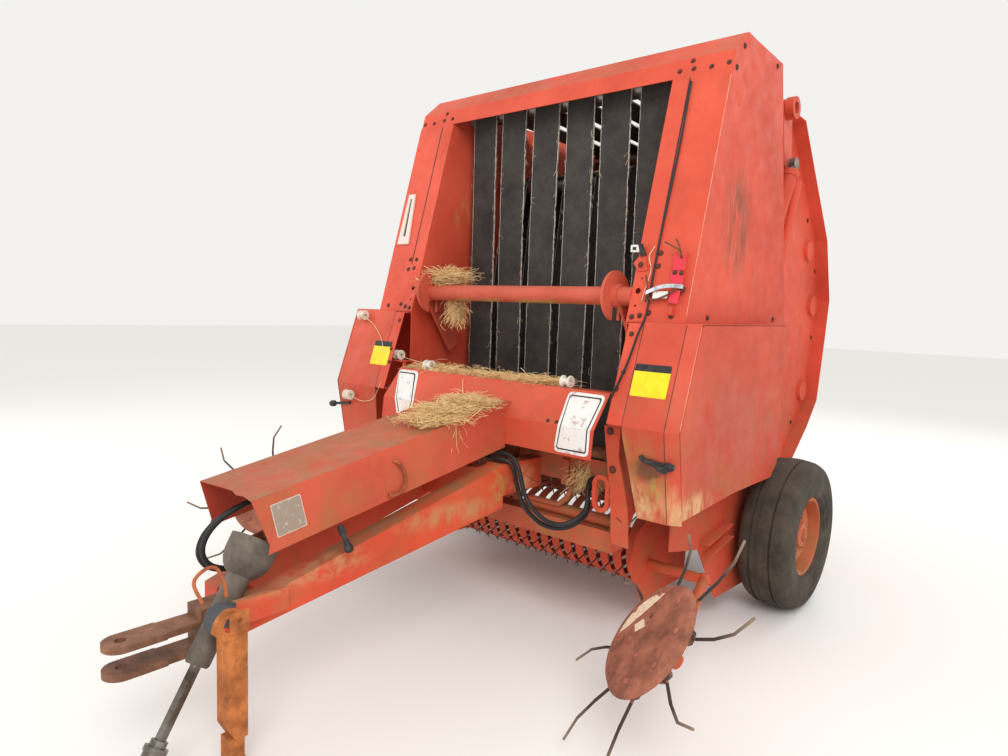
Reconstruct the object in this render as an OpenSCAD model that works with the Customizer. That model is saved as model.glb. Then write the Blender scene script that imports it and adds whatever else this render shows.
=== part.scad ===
// Round baler, towed, with a belt-lined bale chamber, a lifting tailgate and a wide pickup.
// Millimetres. +Z is up, the hitch points along -Y and the machine's left side is +X.

/* [Bale chamber] */
// Clear width between the two chamber walls
chamber_w = 1236; // [1190:2:1240]
// Thickness of the chamber wall plates
wall_t = 5; // [4:1:6]
// Thickness of the folded body sheets
sheet_t = 3; // [2:0.5:4]
// Width over the upper side boxes
body_w = 1728; // [1716:2:1760]
// Distance from the centre plane to the outer face of the left lower box
left_box_x = 929; // [920:1:940]
// Distance from the centre plane to the outer face of the right lower box
right_box_x = 1062; // [1040:1:1075]

/* [Belts] */
// Number of belts side by side
belt_count = 6; // [4:1:7]
// Width of one belt
belt_w = 150; // [120:5:160]
// Distance between belt centres
belt_pitch = 196; // [186:2:200]
// Belt thickness
belt_t = 6; // [4:1:8]
// Radius of the belt rollers
roller_r = 45; // [35:1:50]

/* [Tailgate] */
// Radius of the pivot tube across the top
pivot_r = 45; // [38:1:48]
// Width of the flange that runs round the tailgate sides
gate_flange = 70; // [50:5:76]
// Thickness of the tailgate side plates
gate_t = 5; // [4:1:6]
// Barrel radius of the lift cylinders
barrel_r = 34; // [28:1:36]
// Rod radius of the lift cylinders
rod_r = 16; // [12:1:20]

/* [Wheels] */
// Outer diameter of the tyres
tyre_d = 700; // [660:5:710]
// Section width of the tyres
tyre_w = 230; // [180:5:235]
// Diameter of the rim seat
rim_d = 365; // [340:5:400]
// Distance from the centre plane to the middle of a tyre
wheel_x = 950; // [945:1:960]

/* [Drawbar] */
// Diameter of the hole for the drawbar pin
pin_d = 32; // [25:1:36]
// Thickness of each hitch plate
hitch_plate_t = 20; // [16:1:24]
// Clear height between the two hitch plates
hitch_gap = 60; // [45:1:66]
// Width of each drawbar beam
beam_w = 82; // [70:2:96]
// Side of the square jack leg
jack_w = 62; // [50:2:70]

/* [Driveline] */
// Outer radius of the driveline guard tube
guard_r = 37; // [32:1:40]
// Radius of the sliding shaft
shaft_r = 16; // [13:1:18]
// Bore of the yoke that slips on the tractor's shaft
yoke_bore_d = 35; // [30:1:36]

/* [Pickup] */
// Radius of the stripper bands
band_r = 165; // [150:5:175]
// Radius over the tine tips
tine_tip_r = 250; // [230:5:255]
// Number of rows of tines
tine_rows = 4; // [3:1:5]
// Number of stripper bands across the pickup
band_count = 18; // [14:1:20]
// Radius of the crop gathering wheels' discs
disc_r = 195; // [180:5:215]
// Radius over the tips of the gathering wheels' tines
gather_r = 420; // [380:5:425]

/* [Hidden] */

fit = 0.4;
seat = 0.3;
half_w = chamber_w / 2;
wall_out = half_w + wall_t;
box_x = body_w / 2;
axle_z = tyre_d / 2;

// Side view points [y, z] of the fixed body
fascia_line = [[-735, 2289], [-712, 2366], [-609, 2456], [-519, 2449], [-241, 2435]];
shoulder = [-1000, 1327];
fold = [-1148, 946];
panel_foot = [-1086, 600];
wall_front = [
    [-728, 2285], [-740.5, 2281], [-998.5, 1327], [-1000, 1000], [-1092, 938], [-1092, 840],
    [-1010, 780], [-1010, 640], [-1040, 520], [-1040, 415], [-940, 415], [-860, 560], [-640, 480]
];
split_y = 30;
rake = atan2(1000 - 740, 2289 - 1327);

// Seams of the front: posts, then the lower panels, whose outer edge is beveled [x, y]
post_seam = 690;
strip_x = [645, 709];
bevel = [45, 28];

// Belt rollers [y, z, side]: the belts run clockwise from the lower front one and pass
// over the outside of each roller of side 1 and under the roller of side -1
belt_path = [
    [-584, 780, 1], [-584, 2335, 1], [480, 2290, 1], [965, 1750, 1], [1095, 1430, 1],
    [1020, 920, 1], [680, 605, 1], [-50, 560, 1], [-330, 2010, -1]
];
frame_roller_ids = [0, 1, 7, 8];
gate_roller_ids = [2, 3, 4, 5, 6];

// Tailgate pivot and lift cylinder pins [y, z]
pivot = [100, 2340];
pivot_bore_r = 28;
gate_pin = [150, 2090];
frame_pin = [-460, 1120];
cylinder_x = box_x - sheet_t - barrel_r - 27;
gate_tubes = [[1158, 1240], [1130, 1640], [820, 2070]];
gate_rim = [[585, 2400], [1092, 1820], [1222, 1470], [1190, 1230], [1126, 860], [980, 712], [690, 490]];

// Drawbar
hitch_y = -2612;
nose_r = 50;
tongue_front = [-2300, 396];
tongue_rear = [-1250, 646];

// Jack leg pivot [x, y, z]
jack_pivot = [225, -2418, 456];

// Driveline front joint [x, y, z] and its slope downwards
joint = [70, -2245, 590];
yoke_end = [150, -2630, 32];

// Pickup
reel = [-620, 335];
lift_axis = [-430, 520];
face_turn = 45;
face_rise = 38;
face_dir = [-cos(face_rise) * sin(face_turn), -cos(face_rise) * cos(face_turn), sin(face_rise)];
disc_hub = [1049, -1511, 388];
arm_knee = [860, -690, 280];

// The model is built about the axle and then moved so that it is centred front to back.
axle_y = (nose_r - hitch_y - gate_rim[2][0]) / 2;

// Helpers for folded sheets: a band of thickness t along a line of points
function unit(v) = v / norm(v);
function left_of(a, b) = let (d = unit(b - a)) [-d[1], d[0]];
function miter(p, i, t) =
    let (n = len(p), a = left_of(p[max(i - 1, 0)], p[max(i, 1)]))
    let (b = left_of(p[min(i, n - 2)], p[min(i + 1, n - 1)]), m = unit(a + b))
    p[i] + m * t / (m * a);
function band(p, t) = concat(p, [for (i = [len(p) - 1 : -1 : 0]) miter(p, i, t)]);
function heading(v) = atan2(v[1], v[0]);

// One face of a belt that runs round the rollers of a path. The face passes each roller's
// centre at the distance q, to its left on side 1 and to its right on side -1.
function centre(p) = [p[0], p[1]];
function offset_q(p, near, far) = p[2] > 0 ? near : -far;
function run_heading(a, b, near, far) =
    heading(centre(b) - centre(a))
    + asin((offset_q(b, near, far) - offset_q(a, near, far)) / norm(centre(b) - centre(a)));
function belt_face(p, near, far, steps) = [
    for (i = [0 : len(p) - 1])
        let (n = len(p), a = p[(i + n - 1) % n], b = p[i], c = p[(i + 1) % n])
        let (h0 = run_heading(a, b, near, far), h1 = run_heading(b, c, near, far))
        let (turn = b[2] > 0 ? -((h0 - h1 + 720) % 360) : (h1 - h0 + 720) % 360)
        for (k = [0 : steps])
            let (h = h0 + turn * k / steps + 90)
            centre(b) + offset_q(b, near, far) * [cos(h), sin(h)]
];

// Places children in the frame of the finished machine
module from_axle() translate([0, axle_y, 0]) children();

// A plate that lies in the Y-Z plane from x to x + t
module plate(pts, x, t) translate([x, 0, 0]) rotate([90, 0, 90]) linear_extrude(t) polygon(pts);

// A rod along X from x to x + l at [y, z]
module rod_x(p, r, x, l) translate([x, p[0], p[1]]) rotate([0, 90, 0]) cylinder(h = l, r = r, $fn = 48);

// A box given by its lowest corner and its highest corner
module block(a, b) translate(a) cube(b - a);

// A beam of rectangular section from a to b, with width across X and height h
module beam(a, b, w, h) {
    d = b - a;
    translate(a)
        rotate([0, 0, atan2(d[1], d[0])])
            rotate([0, -atan2(d[2], norm([d[0], d[1]])), 0])
                translate([0, -w / 2, -h / 2]) cube([norm(d), w, h]);
}

// A round bar from a to b
module bar(a, b, r) {
    d = b - a;
    translate(a)
        rotate([0, 0, atan2(d[1], d[0])])
            rotate([0, 90 - atan2(d[2], norm([d[0], d[1]])), 0])
                cylinder(h = norm(d), r = r, $fn = 32);
}

// Mirrors the left side's children for side = -1
module on_side(side) {
    if (side > 0) children();
    else mirror([1, 0, 0]) children();
}

module red() color([0.80, 0.30, 0.24]) children();
module bright_red() color([0.86, 0.30, 0.18]) children();
module rust() color([0.48, 0.28, 0.18]) children();
module steel() color([0.55, 0.55, 0.55]) children();
module black() color([0.12, 0.12, 0.12]) children();

// Places children on the raked face of the posts: X stays, Y is away from the face and Z runs
// up along it from the shoulder
module on_post() translate([0, shoulder[0], shoulder[1]]) rotate([-rake, 0, 0]) children();

// A flat piece of thickness t on the posts, given as [x, way up along the face]
module post_plate(pts, t, gap) on_post() translate([0, -gap, 0]) rotate([90, 0, 0]) linear_extrude(t) polygon(pts);

// Flat sheet between the edge a-b and the edge d-c, with its thickness along the vector back
module sheet(a, b, c, d, back)
    polyhedron([a, b, c, d, a + back, b + back, c + back, d + back],
        [[0, 1, 2, 3], [7, 6, 5, 4], [0, 4, 5, 1], [1, 5, 6, 2], [2, 6, 7, 3], [3, 7, 4, 0]]);

// Front flange of a chamber wall: the inner strip of the post, the strip beside the centre
// panel and the strap below it
module wall_flange() red() from_axle() {
    front = [[-740, 2289], shoulder];
    difference() {
        plate(band(front, sheet_t), half_w, post_seam - seat - half_w);
        on_post() for (hole = [[645, 121, 12], [645, 62, 5], [652, 171, 4], [676, 221, 4]])
            translate([hole[0], 20, hole[1]]) rotate([90, 0, 0]) cylinder(h = 40, r = hole[2], $fn = 32);
    }
    plate(band([[-1147, 948], [-1021, 1321]], -sheet_t), strip_x[0], strip_x[1] - strip_x[0]);
    block([wall_out - 1, -1019, 1318], [strip_x[1], -985, 1321]);
    block([strip_x[0], -1146, 945], [strip_x[1], -1094, 948]);
    strap = [
        [607, 930], [627, 792], [646, 676], [664, 480], [735, 478], [724, 617], [703, 720],
        [676, 822], [680, 946], [645, 946], [640, 936]
    ];
    slot = [[676, 584], [684, 590], [708, 574], [700, 568]];
    translate([0, -1092, 0]) rotate([90, 0, 0]) linear_extrude(8) difference() {
        polygon(strap);
        polygon(slot);
    }
}

// Oval ring of round bar that keeps the hoses off the ground
module hose_ring() red() from_axle() translate([603, -1083, 662]) rotate([90, 0, 0]) linear_extrude(16)
    difference() {
        polygon(oval(38, 74));
        polygon(oval(21, 57));
    }
module hose_ring_lug() red() from_axle() block([630, -1098, 650], [656, -1090, 668]);
function oval(w, h) = [
    for (half = [1, -1], k = [0 : 8])
        let (a = 22.5 * k + (half > 0 ? 0 : 180))
        [w * cos(a), half * (h - w) + w * sin(a)]
];

// Chamber wall with its roller bearings, the lift cylinder's pin, the gate bearing plate
// and the lower side plate that reaches down past the axle
module side_wall() red() from_axle() {
    top = [[split_y - 60, 2200], [-230, 2425], [-519, 2440], [-605, 2446], [-700, 2366]];
    difference() {
        plate(concat(wall_front, [[split_y, 470], [split_y, 2120]], top), half_w, wall_t);
        rod_x(lift_axis, 15 + fit, half_w - 1, wall_t + 2);
    }
    // Bearings of the frame rollers
    for (i = frame_roller_ids) rod_x(belt_path[i], roller_r + 12, wall_out, 22);
    // Pin of the lift cylinder
    rod_x(frame_pin, 18, wall_out, cylinder_x + 26 - wall_out);
    rod_x(frame_pin, 55, wall_out, 40);
    // Bearing plate of the tailgate pivot, on a spacer against the wall
    difference() {
        union() {
            plate([[-420, 2405], [-420, 2285], [60, 2255], [160, 2300], [160, 2390], [60, 2412]],
                gate_bearing_x, 12);
            block([wall_out, -420, 2290], [gate_bearing_x, -260, 2400]);
        }
        rod_x(pivot, pivot_r + fit, wall_out - 1, 200);
    }
}
gate_bearing_x = half_w + gate_flange + 22;

// Lower side plate, outboard of the chamber, with its stiffening flange
module lower_plate() bright_red() from_axle() {
    outline = [
        [-890, 600], [-890, 430], [-630, 376], [-430, 106], [-115, 93], [60, 93], [180, 330],
        [180, 600]
    ];
    plate(outline, lower_plate_x - 5, 5);
    block([wall_out, -880, 560], [lower_plate_x - 5, 180, 566]);
}
lower_plate_x = 800;

// Open channel that the gathering wheel's arm is hung on for the road
module arm_holder() bright_red() from_axle() translate([lower_plate_x, -620, 345]) rotate([9, 0, 0]) {
    cube([5, 250, 62]);
    cube([45, 250, 4]);
    translate([0, 0, 58]) cube([45, 250, 4]);
}

module wall_side() {
    side_wall();
    wall_flange();
    lower_plate();
    arm_holder();
}
module side_wall_left() {
    wall_side();
    hose_ring();
    hose_ring_lug();
}
module side_wall_right() mirror([1, 0, 0]) wall_side();

// Upper side box: raked front face, outer side sheet and a turned rear edge
module side_box() red() from_axle() {
    rear = [[-241, 2435], [-3, 1329]];
    front = [[-740, 2289], shoulder];
    plate(band(front, sheet_t), post_seam, box_x - post_seam - sheet_t);
    plate(concat(fascia_line, [rear[1], shoulder, front[0]]), box_x - sheet_t, sheet_t);
    plate(band(rear, 3), box_x - 22, 22 - sheet_t);
}
module side_box_left() side_box();
module side_box_right() mirror([1, 0, 0]) side_box();

// Folded beam across the top front, closed by a sheet over the rollers
module top_fascia() red() from_axle()
    plate(band(fascia_line, -sheet_t), sheet_t - box_x, body_w - 2 * sheet_t);

// Lower centre panel with its crop shelf
module front_panel() red() from_axle() difference() {
    union() {
        plate(band(panel_line, -sheet_t), 10 - half_w, chamber_w - 20);
        for (side = [-1, 1]) on_side(side) block([half_w - 11, -925, 1031], [half_w - seat, -906, 1035]);
        block([-700, -1075, 1079], [-590, -1005, 1082]);
        block([-606, -1062, 1046], [-594, -1050, 1080]);
    }
    rod_y([0, 792], 58, -1300, 300);
}
panel_line = [[-1185, 805], [-1175, 915], [-1070, 1050], [-905, 1035]];

// Bulged panel in front of each lower box, with a beveled outer edge and a top sheet
module lower_panel(out_x) red() from_axle() {
    face = [panel_foot, fold, [-1019, 1327]];
    inner_x = strip_x[1] + 3;
    flat_x = out_x - bevel[0];
    difference() {
        plate(band(face, -sheet_t), inner_x, flat_x - inner_x);
        // Slanted inner edge below the fold
        translate([inner_x - 6, -1200, 946]) rotate([0, -9, 0]) translate([-200, 0, -700]) cube([200, 300, 700]);
    }
    for (i = [0, 1]) let (a = face[i], b = face[i + 1])
        sheet([flat_x, a[0], a[1]], [flat_x, b[0], b[1]],
            [out_x, b[0] + bevel[1], b[1]], [out_x, a[0] + bevel[1], a[1]],
            sheet_t * unit([-bevel[1], bevel[0], 0]));
    block([wall_out + seat, -1015, 1326 - sheet_t], [box_x, -930, 1326]);
    translate([0, 0, 1327 - sheet_t]) linear_extrude(sheet_t) polygon([
        [box_x - sheet_t, -1019], [flat_x, -1019], [out_x, -1019 + bevel[1]], [out_x, -151],
        [box_x - sheet_t, -151]
    ]);
}
module lower_panel_left() lower_panel(left_box_x);
module lower_panel_right() mirror([1, 0, 0]) lower_panel(right_box_x);

// Hinged side shield of a lower box, with its turned edges
module side_shield(out_x) red() from_axle() {
    outline = [
        [-986, 1314], [-1114, 946], [-1056, 618], [-603, 645], [-215, 645], [-151, 700],
        [-151, 1314]
    ];
    plate(outline, out_x - sheet_t, sheet_t);
    rod_y([out_x - shield_hinge_r, 1327 - sheet_t - seat - shield_hinge_r], shield_hinge_r, -980, 820);
}
module rod_y(p, r, y, l) translate([p[0], y, p[1]]) rotate([-90, 0, 0]) cylinder(h = l, r = r, $fn = 32);
module side_shield_left() side_shield(left_box_x);
module side_shield_right() mirror([1, 0, 0]) side_shield(right_box_x);

// Two tapered box beams that meet at the hitch, with cross pieces and the jack's clamp
module tongue() bright_red() from_axle() {
    for (side = [-1, 1])
        hull() {
            translate([side * 95 - beam_w / 2, tongue_front[0], tongue_front[1] - 41]) cube([beam_w, 1, 82]);
            translate([side * 199 - beam_w / 2, tongue_rear[0] - 1, tongue_rear[1] - 88]) cube([beam_w, 1, 176]);
        }
    for (side = [-1, 1]) on_side(side)
        block([163, tongue_rear[0] - 2, 606], [235, -1000 - seat, tongue_rear[1] + 86]);
    block([-54, -2300, 365], [54, -2200, 425]);
    block([-160, -1330, 570], [160, -1290, 720]);
    block([-104, -2190, 440], [-46, -2165, 506]);
    // Clamp of the jack leg
    rod_x([jack_pivot[1], jack_pivot[2]], 20, 150, jack_pivot[0] + jack_w / 2 - 150);
    block([150, -2420, 400], [170, -2180, 475]);
    block([120, -2290, 405], [151, -2180, 430]);
}

// Hitch plates with the drawbar pin's hole, carried by a short nose
module hitch_clevis() rust() from_axle() difference() {
    union() {
        for (z = [390 - hitch_plate_t, 390 - 2 * hitch_plate_t - hitch_gap]) {
            block([-nose_r, hitch_y, z], [nose_r, -2500, z + hitch_plate_t]);
            block([-44, -2510, z], [44, -2300, z + hitch_plate_t]);
            translate([0, hitch_y, z]) cylinder(h = hitch_plate_t, r = nose_r, $fn = 64);
        }
        block([-44, -2400, 390 - 2 * hitch_plate_t - hitch_gap], [44, -2300, 425]);
    }
    translate([0, hitch_y, 200]) cylinder(h = 300, d = pin_d, $fn = 48);
}

// Long folded cover over the driveline
module driveline_cover() red() from_axle() {
    front = -2300;
    rear = -1190;
    block([-75, -2120, 685], [-20, -2095, 796]);
    slope = atan2(963 - 765, rear - front);
    length = (rear - front) / cos(slope) + 60;
    difference() {
        translate([0, front, 765]) rotate([slope, 0, 0]) difference() {
            rotate([-90, 0, 0]) linear_extrude(length)
                polygon(band([[-185, 170], [-160, 0], [160, 0], [185, 170]], -sheet_t));
            translate([-300, -1, -200]) rotate([-24, 0, 0]) translate([0, -100, -100]) cube([600, 100, 400]);
        }
        // The rear end follows the centre panel
        translate([0, -seat, 0]) plate([
            [panel_line[0][0], 500], panel_line[0], panel_line[1], panel_line[2],
            [-900, 1050], [-900, 500]
        ], -300, 600);
    }
}

// Main gearbox with its input and cross shafts
module gearbox() rust() from_axle() {
    block([60, -1262, 740], [110, -1100, 788]);
    block([-110, -1100, 690], [110, -900, 900]);
    translate([0, -1100, 800]) rotate([90, 0, 0]) cylinder(h = 40, r = 60, $fn = 48);
    rod_x([-1000, 800], 25, 110, half_w - 110);
    rod_x([-1000, 800], 25, -half_w, half_w - 110);
}

// Shaft under the cover, from the front bearing to the gearbox
module inner_driveshaft() black() from_axle() {
    rear_end = [0, -1130, 802];
    back = unit(rear_end - joint);
    difference() {
        bar(joint + 60 * back, rear_end, 30);
        block([-100, -1140, 700], [100, -1100, 900]);
    }
    for (side = [-1, 1]) translate(joint) {
        rotate([0, side * 90, 0]) translate([0, 0, 34]) cylinder(h = 10, r = 24, $fn = 32);
        translate([side * 39, 0, 0]) beam([0, 0, 0], 70 * back, 10, 40);
    }
    beam(joint + 58 * back, joint + 74 * back, 88, 40);
    rod_x([joint[1], joint[2]], 10, joint[0] - 40, 80);
}

// Axle beam with a spindle at each end
module axle() rust() from_axle() {
    block([-lower_plate_x + 5, -50, axle_z - 50], [lower_plate_x - 5, 50, axle_z + 50]);
    for (side = [-1, 1]) on_side(side) rod_x([0, axle_z], 30, lower_plate_x, 140);
}

// Angle and tubes across the frame below the chamber, and the beam that carries the gearbox
module cross_members() bright_red() from_axle() {
    block([-half_w, -1040, 415], [half_w, -1032, 500]);
    block([-half_w, -1040, 494], [half_w, -950, 500]);
    block([-half_w, -1000, 655], [half_w, -940, 690]);
    for (side = [-1, 1]) on_side(side) {
        block([112, -1000, 689], [half_w, -996, 765]);
        rod_x([-985, 523], 25, 150, half_w - 150);
        block([566, -1000, 604], [half_w, -940, 656]);
        block([352, -1012, 640], [388, -999, 745]);
        // Bent pipe
        pipe = [[185, -1008, 548], [342, -1008, 548], [385, -1008, 585], [402, -1008, 620], [408, -1008, 725]];
        for (i = [0 : 3]) bar(pipe[i], pipe[i + 1], 12);
        for (i = [1 : 3]) translate(pipe[i]) sphere(r = 12.6, $fn = 32);
    }
}

// A belt roller with its shaft between two faces
module roller(p, x, reach) {
    rod_x(p, roller_r, -x, 2 * x);
    rod_x(p, 15, -reach, reach - x);
    rod_x(p, 15, x, reach - x);
}
module frame_rollers() steel() from_axle()
    for (i = frame_roller_ids) roller(belt_path[i], half_w - 8, half_w);

// Belts, each a closed loop round all the rollers
module belts() black() from_axle()
    for (i = [0 : belt_count - 1])
        translate([(i - (belt_count - 1) / 2) * belt_pitch - belt_w / 2, 0, 0])
            rotate([90, 0, 90]) linear_extrude(belt_w) difference() {
                polygon(belt_face(belt_path, roller_r + seat + belt_t, roller_r + seat, 6));
                polygon(belt_face(belt_path, roller_r + seat, roller_r + seat + belt_t, 6));
                for (p = belt_path) translate(centre(p)) circle(r = roller_r + 1.5 * seat, $fn = 64);
            }

// Belt tension arm: a torque tube across the chamber's front with an arm inside each wall
module tension_arm() bright_red() from_axle() {
    tube = [-944, 1423];
    rod_x(tube, 37, -half_w, chamber_w);
    for (side = [-1, 1]) on_side(side) {
        difference() {
            rod_x(tube, 100, half_w - 95, 12);
            block([half_w - 96, tube[0] - 26, tube[1] - 110], [half_w - 82, tube[0] + 26, tube[1] - 40]);
        }
        rod_x(tube, 48, half_w - 84, 26);
        beam([half_w - 60, tube[0], tube[1]], [half_w - 60, -760, 1150], 12, 70);
    }
}

// Ceramic spools that lead the twine across the front, each with its middle at [x, y, z]
twine_spools = [
    [-931, -1056.2, 1296], [-905, -1163.5, 889], [-661, -1040, 1107.3], [-432, -1045, 1073.1],
    [384, -1045, 1073.1]
];
module twine_guides() color([0.9, 0.9, 0.86]) from_axle()
    for (p = twine_spools) translate(p) rotate([0, 90, 0]) rotate_extrude($fn = 48)
        polygon([[8, -22], [23, -22], [25, -20], [25, -15], [14, -9], [14, 9], [25, 15], [25, 20], [23, 22], [8, 22]]);

function latch_y(z) =
    panel_foot[0] - 7.6 + (fold[0] - panel_foot[0]) * (z - panel_foot[1]) / (fold[1] - panel_foot[1]);

// Bale size indicator, tying levers and brackets on the posts, and the shields' latches
module front_controls() color([0.8, 0.8, 0.76]) from_axle() {
    on_post() translate([0, -seat, 0]) rotate([90, 0, 0]) linear_extrude(8) difference() {
        polygon([[-835, 353], [-752, 353], [-783, 625], [-829, 625]]);
        polygon([[-806, 395], [-786, 395], [-799, 600], [-813, 600]]);
    }
    post_plate([[627, 262], [605, 231], [631, 199], [672, 201], [653, 259]], 5, seat);
    on_post() {
        translate([0, -4 - seat, 0]) beam([684, 0, 117], [834, 0, 131], 8, 16);
        block([724, -10, 92], [784, -seat, 108]);
        block([782, -14, 150], [828, -seat, 268]);
        block([800, -20, 26], [812, -seat, 56]);
    }
    // Latches
    for (latch = [[-1066, -925, 823, 843], [812, 914, 834, 826]])
        bar([latch[0], latch_y(latch[2]), latch[2]], [latch[1], latch_y(latch[3]), latch[3]], 7);
}

// Closed tube along a route of points, with rings square to it
function ring_axes(p, i, aside) =
    let (n = len(p), d = unit(p[min(i + 1, n - 1)] - p[max(i - 1, 0)]))
    let (u = unit(cross(d, aside)))
    [u, cross(u, d)];
module hose(p, r, aside) {
    sides = 8;
    n = len(p);
    points = [
        for (i = [0 : n - 1], k = [0 : sides - 1])
            let (axes = ring_axes(p, i, aside), a = 360 * k / sides)
            p[i] + r * (cos(a) * axes[0] + sin(a) * axes[1])
    ];
    walls = [
        for (i = [0 : n - 2], k = [0 : sides - 1])
            let (a = i * sides + k, b = i * sides + (k + 1) % sides)
            [a, b, b + sides, a + sides]
    ];
    ends = [[for (k = [sides - 1 : -1 : 0]) k], [for (k = [0 : sides - 1]) (n - 1) * sides + k]];
    polyhedron(points, concat(walls, ends));
}
module hose_front_a() black() from_axle() hose(hose_front_route, hose_r, [1, 0, 0]);
module hose_front_b() black() from_axle()
    hose([for (p = hose_front_route) p + [26, 0, 10]], hose_r, [1, 0, 0]);
module hose_side_a() black() from_axle() hose(hose_side_route, hose_r, [0, 0, 1]);
module hose_side_b() black() from_axle()
    hose(hose_side_route_b, hose_r, [0, 0, 1]);
hose_r = 9;
hose_front_route = [
    [-60, -2120, 700], [-60, -2150, 700], [-66, -2210, 690], [-84, -2275, 655],
    [-98, -2320, 605], [-104, -2335, 550], [-100, -2315, 505], [-92, -2270, 482],
    [-88, -2215, 480], [-88, -2190, 480]
];
hose_side_route = [
    [110, -1215, 772], [160, -1215, 772], [218, -1215, 771], [256, -1215, 760],
    [282, -1215, 733], [299, -1215, 693], [313, -1215, 651], [331, -1215, 613],
    [357, -1215, 584], [390, -1215, 562], [427, -1214, 544], [463, -1210, 537],
    [495, -1200, 537], [522, -1182, 547], [538, -1155, 562], [544, -1118, 580],
    [540, -1094, 604], [530, -1076, 634], [518, -1058, 664], [510, -1036, 684],
    [508, -1016, 690], [508, -1000, 690]
];
hose_side_route_b = [
    [110, -1238, 752], [130, -1238, 752], [165, -1238, 751], [200, -1234, 749],
    [228, -1226, 747], [247, -1217, 738], [257, -1209, 714], [262, -1203, 686],
    [268, -1200, 656], [279, -1198, 622], [296, -1198, 589], [320, -1198, 559],
    [355, -1196, 535], [398, -1193, 516], [443, -1187, 510], [482, -1174, 514],
    [511, -1152, 525], [527, -1122, 542], [532, -1088, 560], [528, -1068, 584],
    [520, -1056, 612], [512, -1042, 640], [508, -1026, 659], [507, -1012, 665],
    [507, -1000, 665]
];

// Tailgate side: plate with an outward flange round its rear edge
module gate_side() red() from_axle() {
    outline = concat(
        [[split_y + 12, 475], [split_y + 12, 2390], [120, 2425]], gate_rim
    );
    plate(outline, half_w, gate_t);
    plate(band(concat([[120, 2425]], gate_rim), -4), half_w + gate_t, gate_flange);
    for (i = gate_roller_ids) rod_x(belt_path[i], roller_r + 12, half_w + gate_t, 20);
    // Half round stiffener down the plate
    difference() {
        bar([635, 690, 2103], [635, 470, 1514], 24);
        block([500, 400, 1400], [half_w + 1, 800, 2200]);
    }
}
module gate_side_left() gate_side();
module gate_side_right() mirror([1, 0, 0]) gate_side();

// Lift arm of the tailgate beside the cylinder, with a gusset to the pivot tube
module lift_arm() {
    lower = gate_pin - pivot;
    difference() {
        plate([
            [pivot[0] - 62, pivot[1] + 20], [pivot[0] + 62, pivot[1] + 20],
            [gate_pin[0] + 42, gate_pin[1] - 10], [gate_pin[0], gate_pin[1] - 45],
            [gate_pin[0] - 42, gate_pin[1] - 10]
        ], cylinder_x - 44, 16);
        rod_x(pivot, pivot_r - 1, cylinder_x - 60, 60);
    }
}

// Pivot tube, lift arms and the cross tubes behind the belts
module gate_frame() red() from_axle() {
    for (side = [-1, 1]) on_side(side) {
        stub_x = half_w + gate_t;
        difference() {
            union() {
                rod_x(pivot, pivot_r, stub_x, cylinder_x + 14 - stub_x);
                rod_x(pivot, pivot_r + 6, cylinder_x - 26, 40);
            }
            rod_x(pivot, pivot_bore_r, stub_x - 1, 300);
        }
        lift_arm();
    }
    for (p = gate_tubes)
        block([-half_w, p[0] - 22, p[1] - 22], [half_w, p[0] + 22, p[1] + 22]);
    block([-half_w, 760, 545], [half_w, 800, 585]);
}

// Rollers carried by the tailgate
module gate_rollers() steel() from_axle()
    for (i = gate_roller_ids) roller(belt_path[i], half_w - 8, half_w);

// Children along the lift cylinder: +X runs from the frame pin to the gate pin
cylinder_span = norm(gate_pin - frame_pin);
cylinder_tilt = atan2(gate_pin[1] - frame_pin[1], gate_pin[0] - frame_pin[0]);
barrel_l = cylinder_span - 52;
module along_cylinder()
    translate([cylinder_x, frame_pin[0], frame_pin[1]])
        rotate([0, 0, 90]) rotate([0, -cylinder_tilt, 0]) children();
module cylinder_barrel() red() from_axle() along_cylinder() difference() {
    union() {
        rotate([90, 0, 0]) translate([0, 0, -22]) cylinder(h = 44, r = 32, $fn = 48);
        translate([30, 0, 0]) rotate([0, 90, 0]) cylinder(h = barrel_l - 30, r = barrel_r, $fn = 48);
        translate([barrel_l - 34, 0, 0]) rotate([0, 90, 0]) cylinder(h = 34, r = barrel_r + 4, $fn = 48);
    }
    rotate([90, 0, 0]) translate([0, 0, -40]) cylinder(h = 80, r = 18 + fit, $fn = 48);
    translate([60, 0, 0]) rotate([0, 90, 0]) cylinder(h = barrel_l, r = rod_r + fit, $fn = 48);
}
module cylinder_rod() steel() from_axle() along_cylinder() {
    translate([400, 0, 0]) rotate([0, 90, 0]) cylinder(h = cylinder_span - 420, r = rod_r, $fn = 48);
    difference() {
        translate([cylinder_span, 14, 0]) rotate([90, 0, 0]) cylinder(h = 28, r = 30, $fn = 48);
    }
}
module cylinder_barrel_left() cylinder_barrel();
module cylinder_barrel_right() mirror([1, 0, 0]) cylinder_barrel();
module cylinder_rod_left() cylinder_rod();
module cylinder_rod_right() mirror([1, 0, 0]) cylinder_rod();

// Tyre with rounded shoulders round the rim seat, [radius, half width]
module tyre() black() from_axle() translate([wheel_x, 0, axle_z]) rotate([0, 90, 0])
    rotate_extrude($fn = 96) polygon([
        [rim_d / 2, -tyre_w / 2 + 25], [rim_d / 2 + 40, -tyre_w / 2 + 6],
        [tyre_d / 2 - 70, -tyre_w / 2], [tyre_d / 2 - 24, -tyre_w / 2 + 14],
        [tyre_d / 2 - 5, -tyre_w / 2 + 42], [tyre_d / 2, 0],
        [tyre_d / 2 - 5, tyre_w / 2 - 42], [tyre_d / 2 - 24, tyre_w / 2 - 14],
        [tyre_d / 2 - 70, tyre_w / 2], [rim_d / 2 + 40, tyre_w / 2 - 6],
        [rim_d / 2, tyre_w / 2 - 25]
    ]);
module tyre_left() tyre();
module tyre_right() mirror([1, 0, 0]) tyre();

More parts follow.
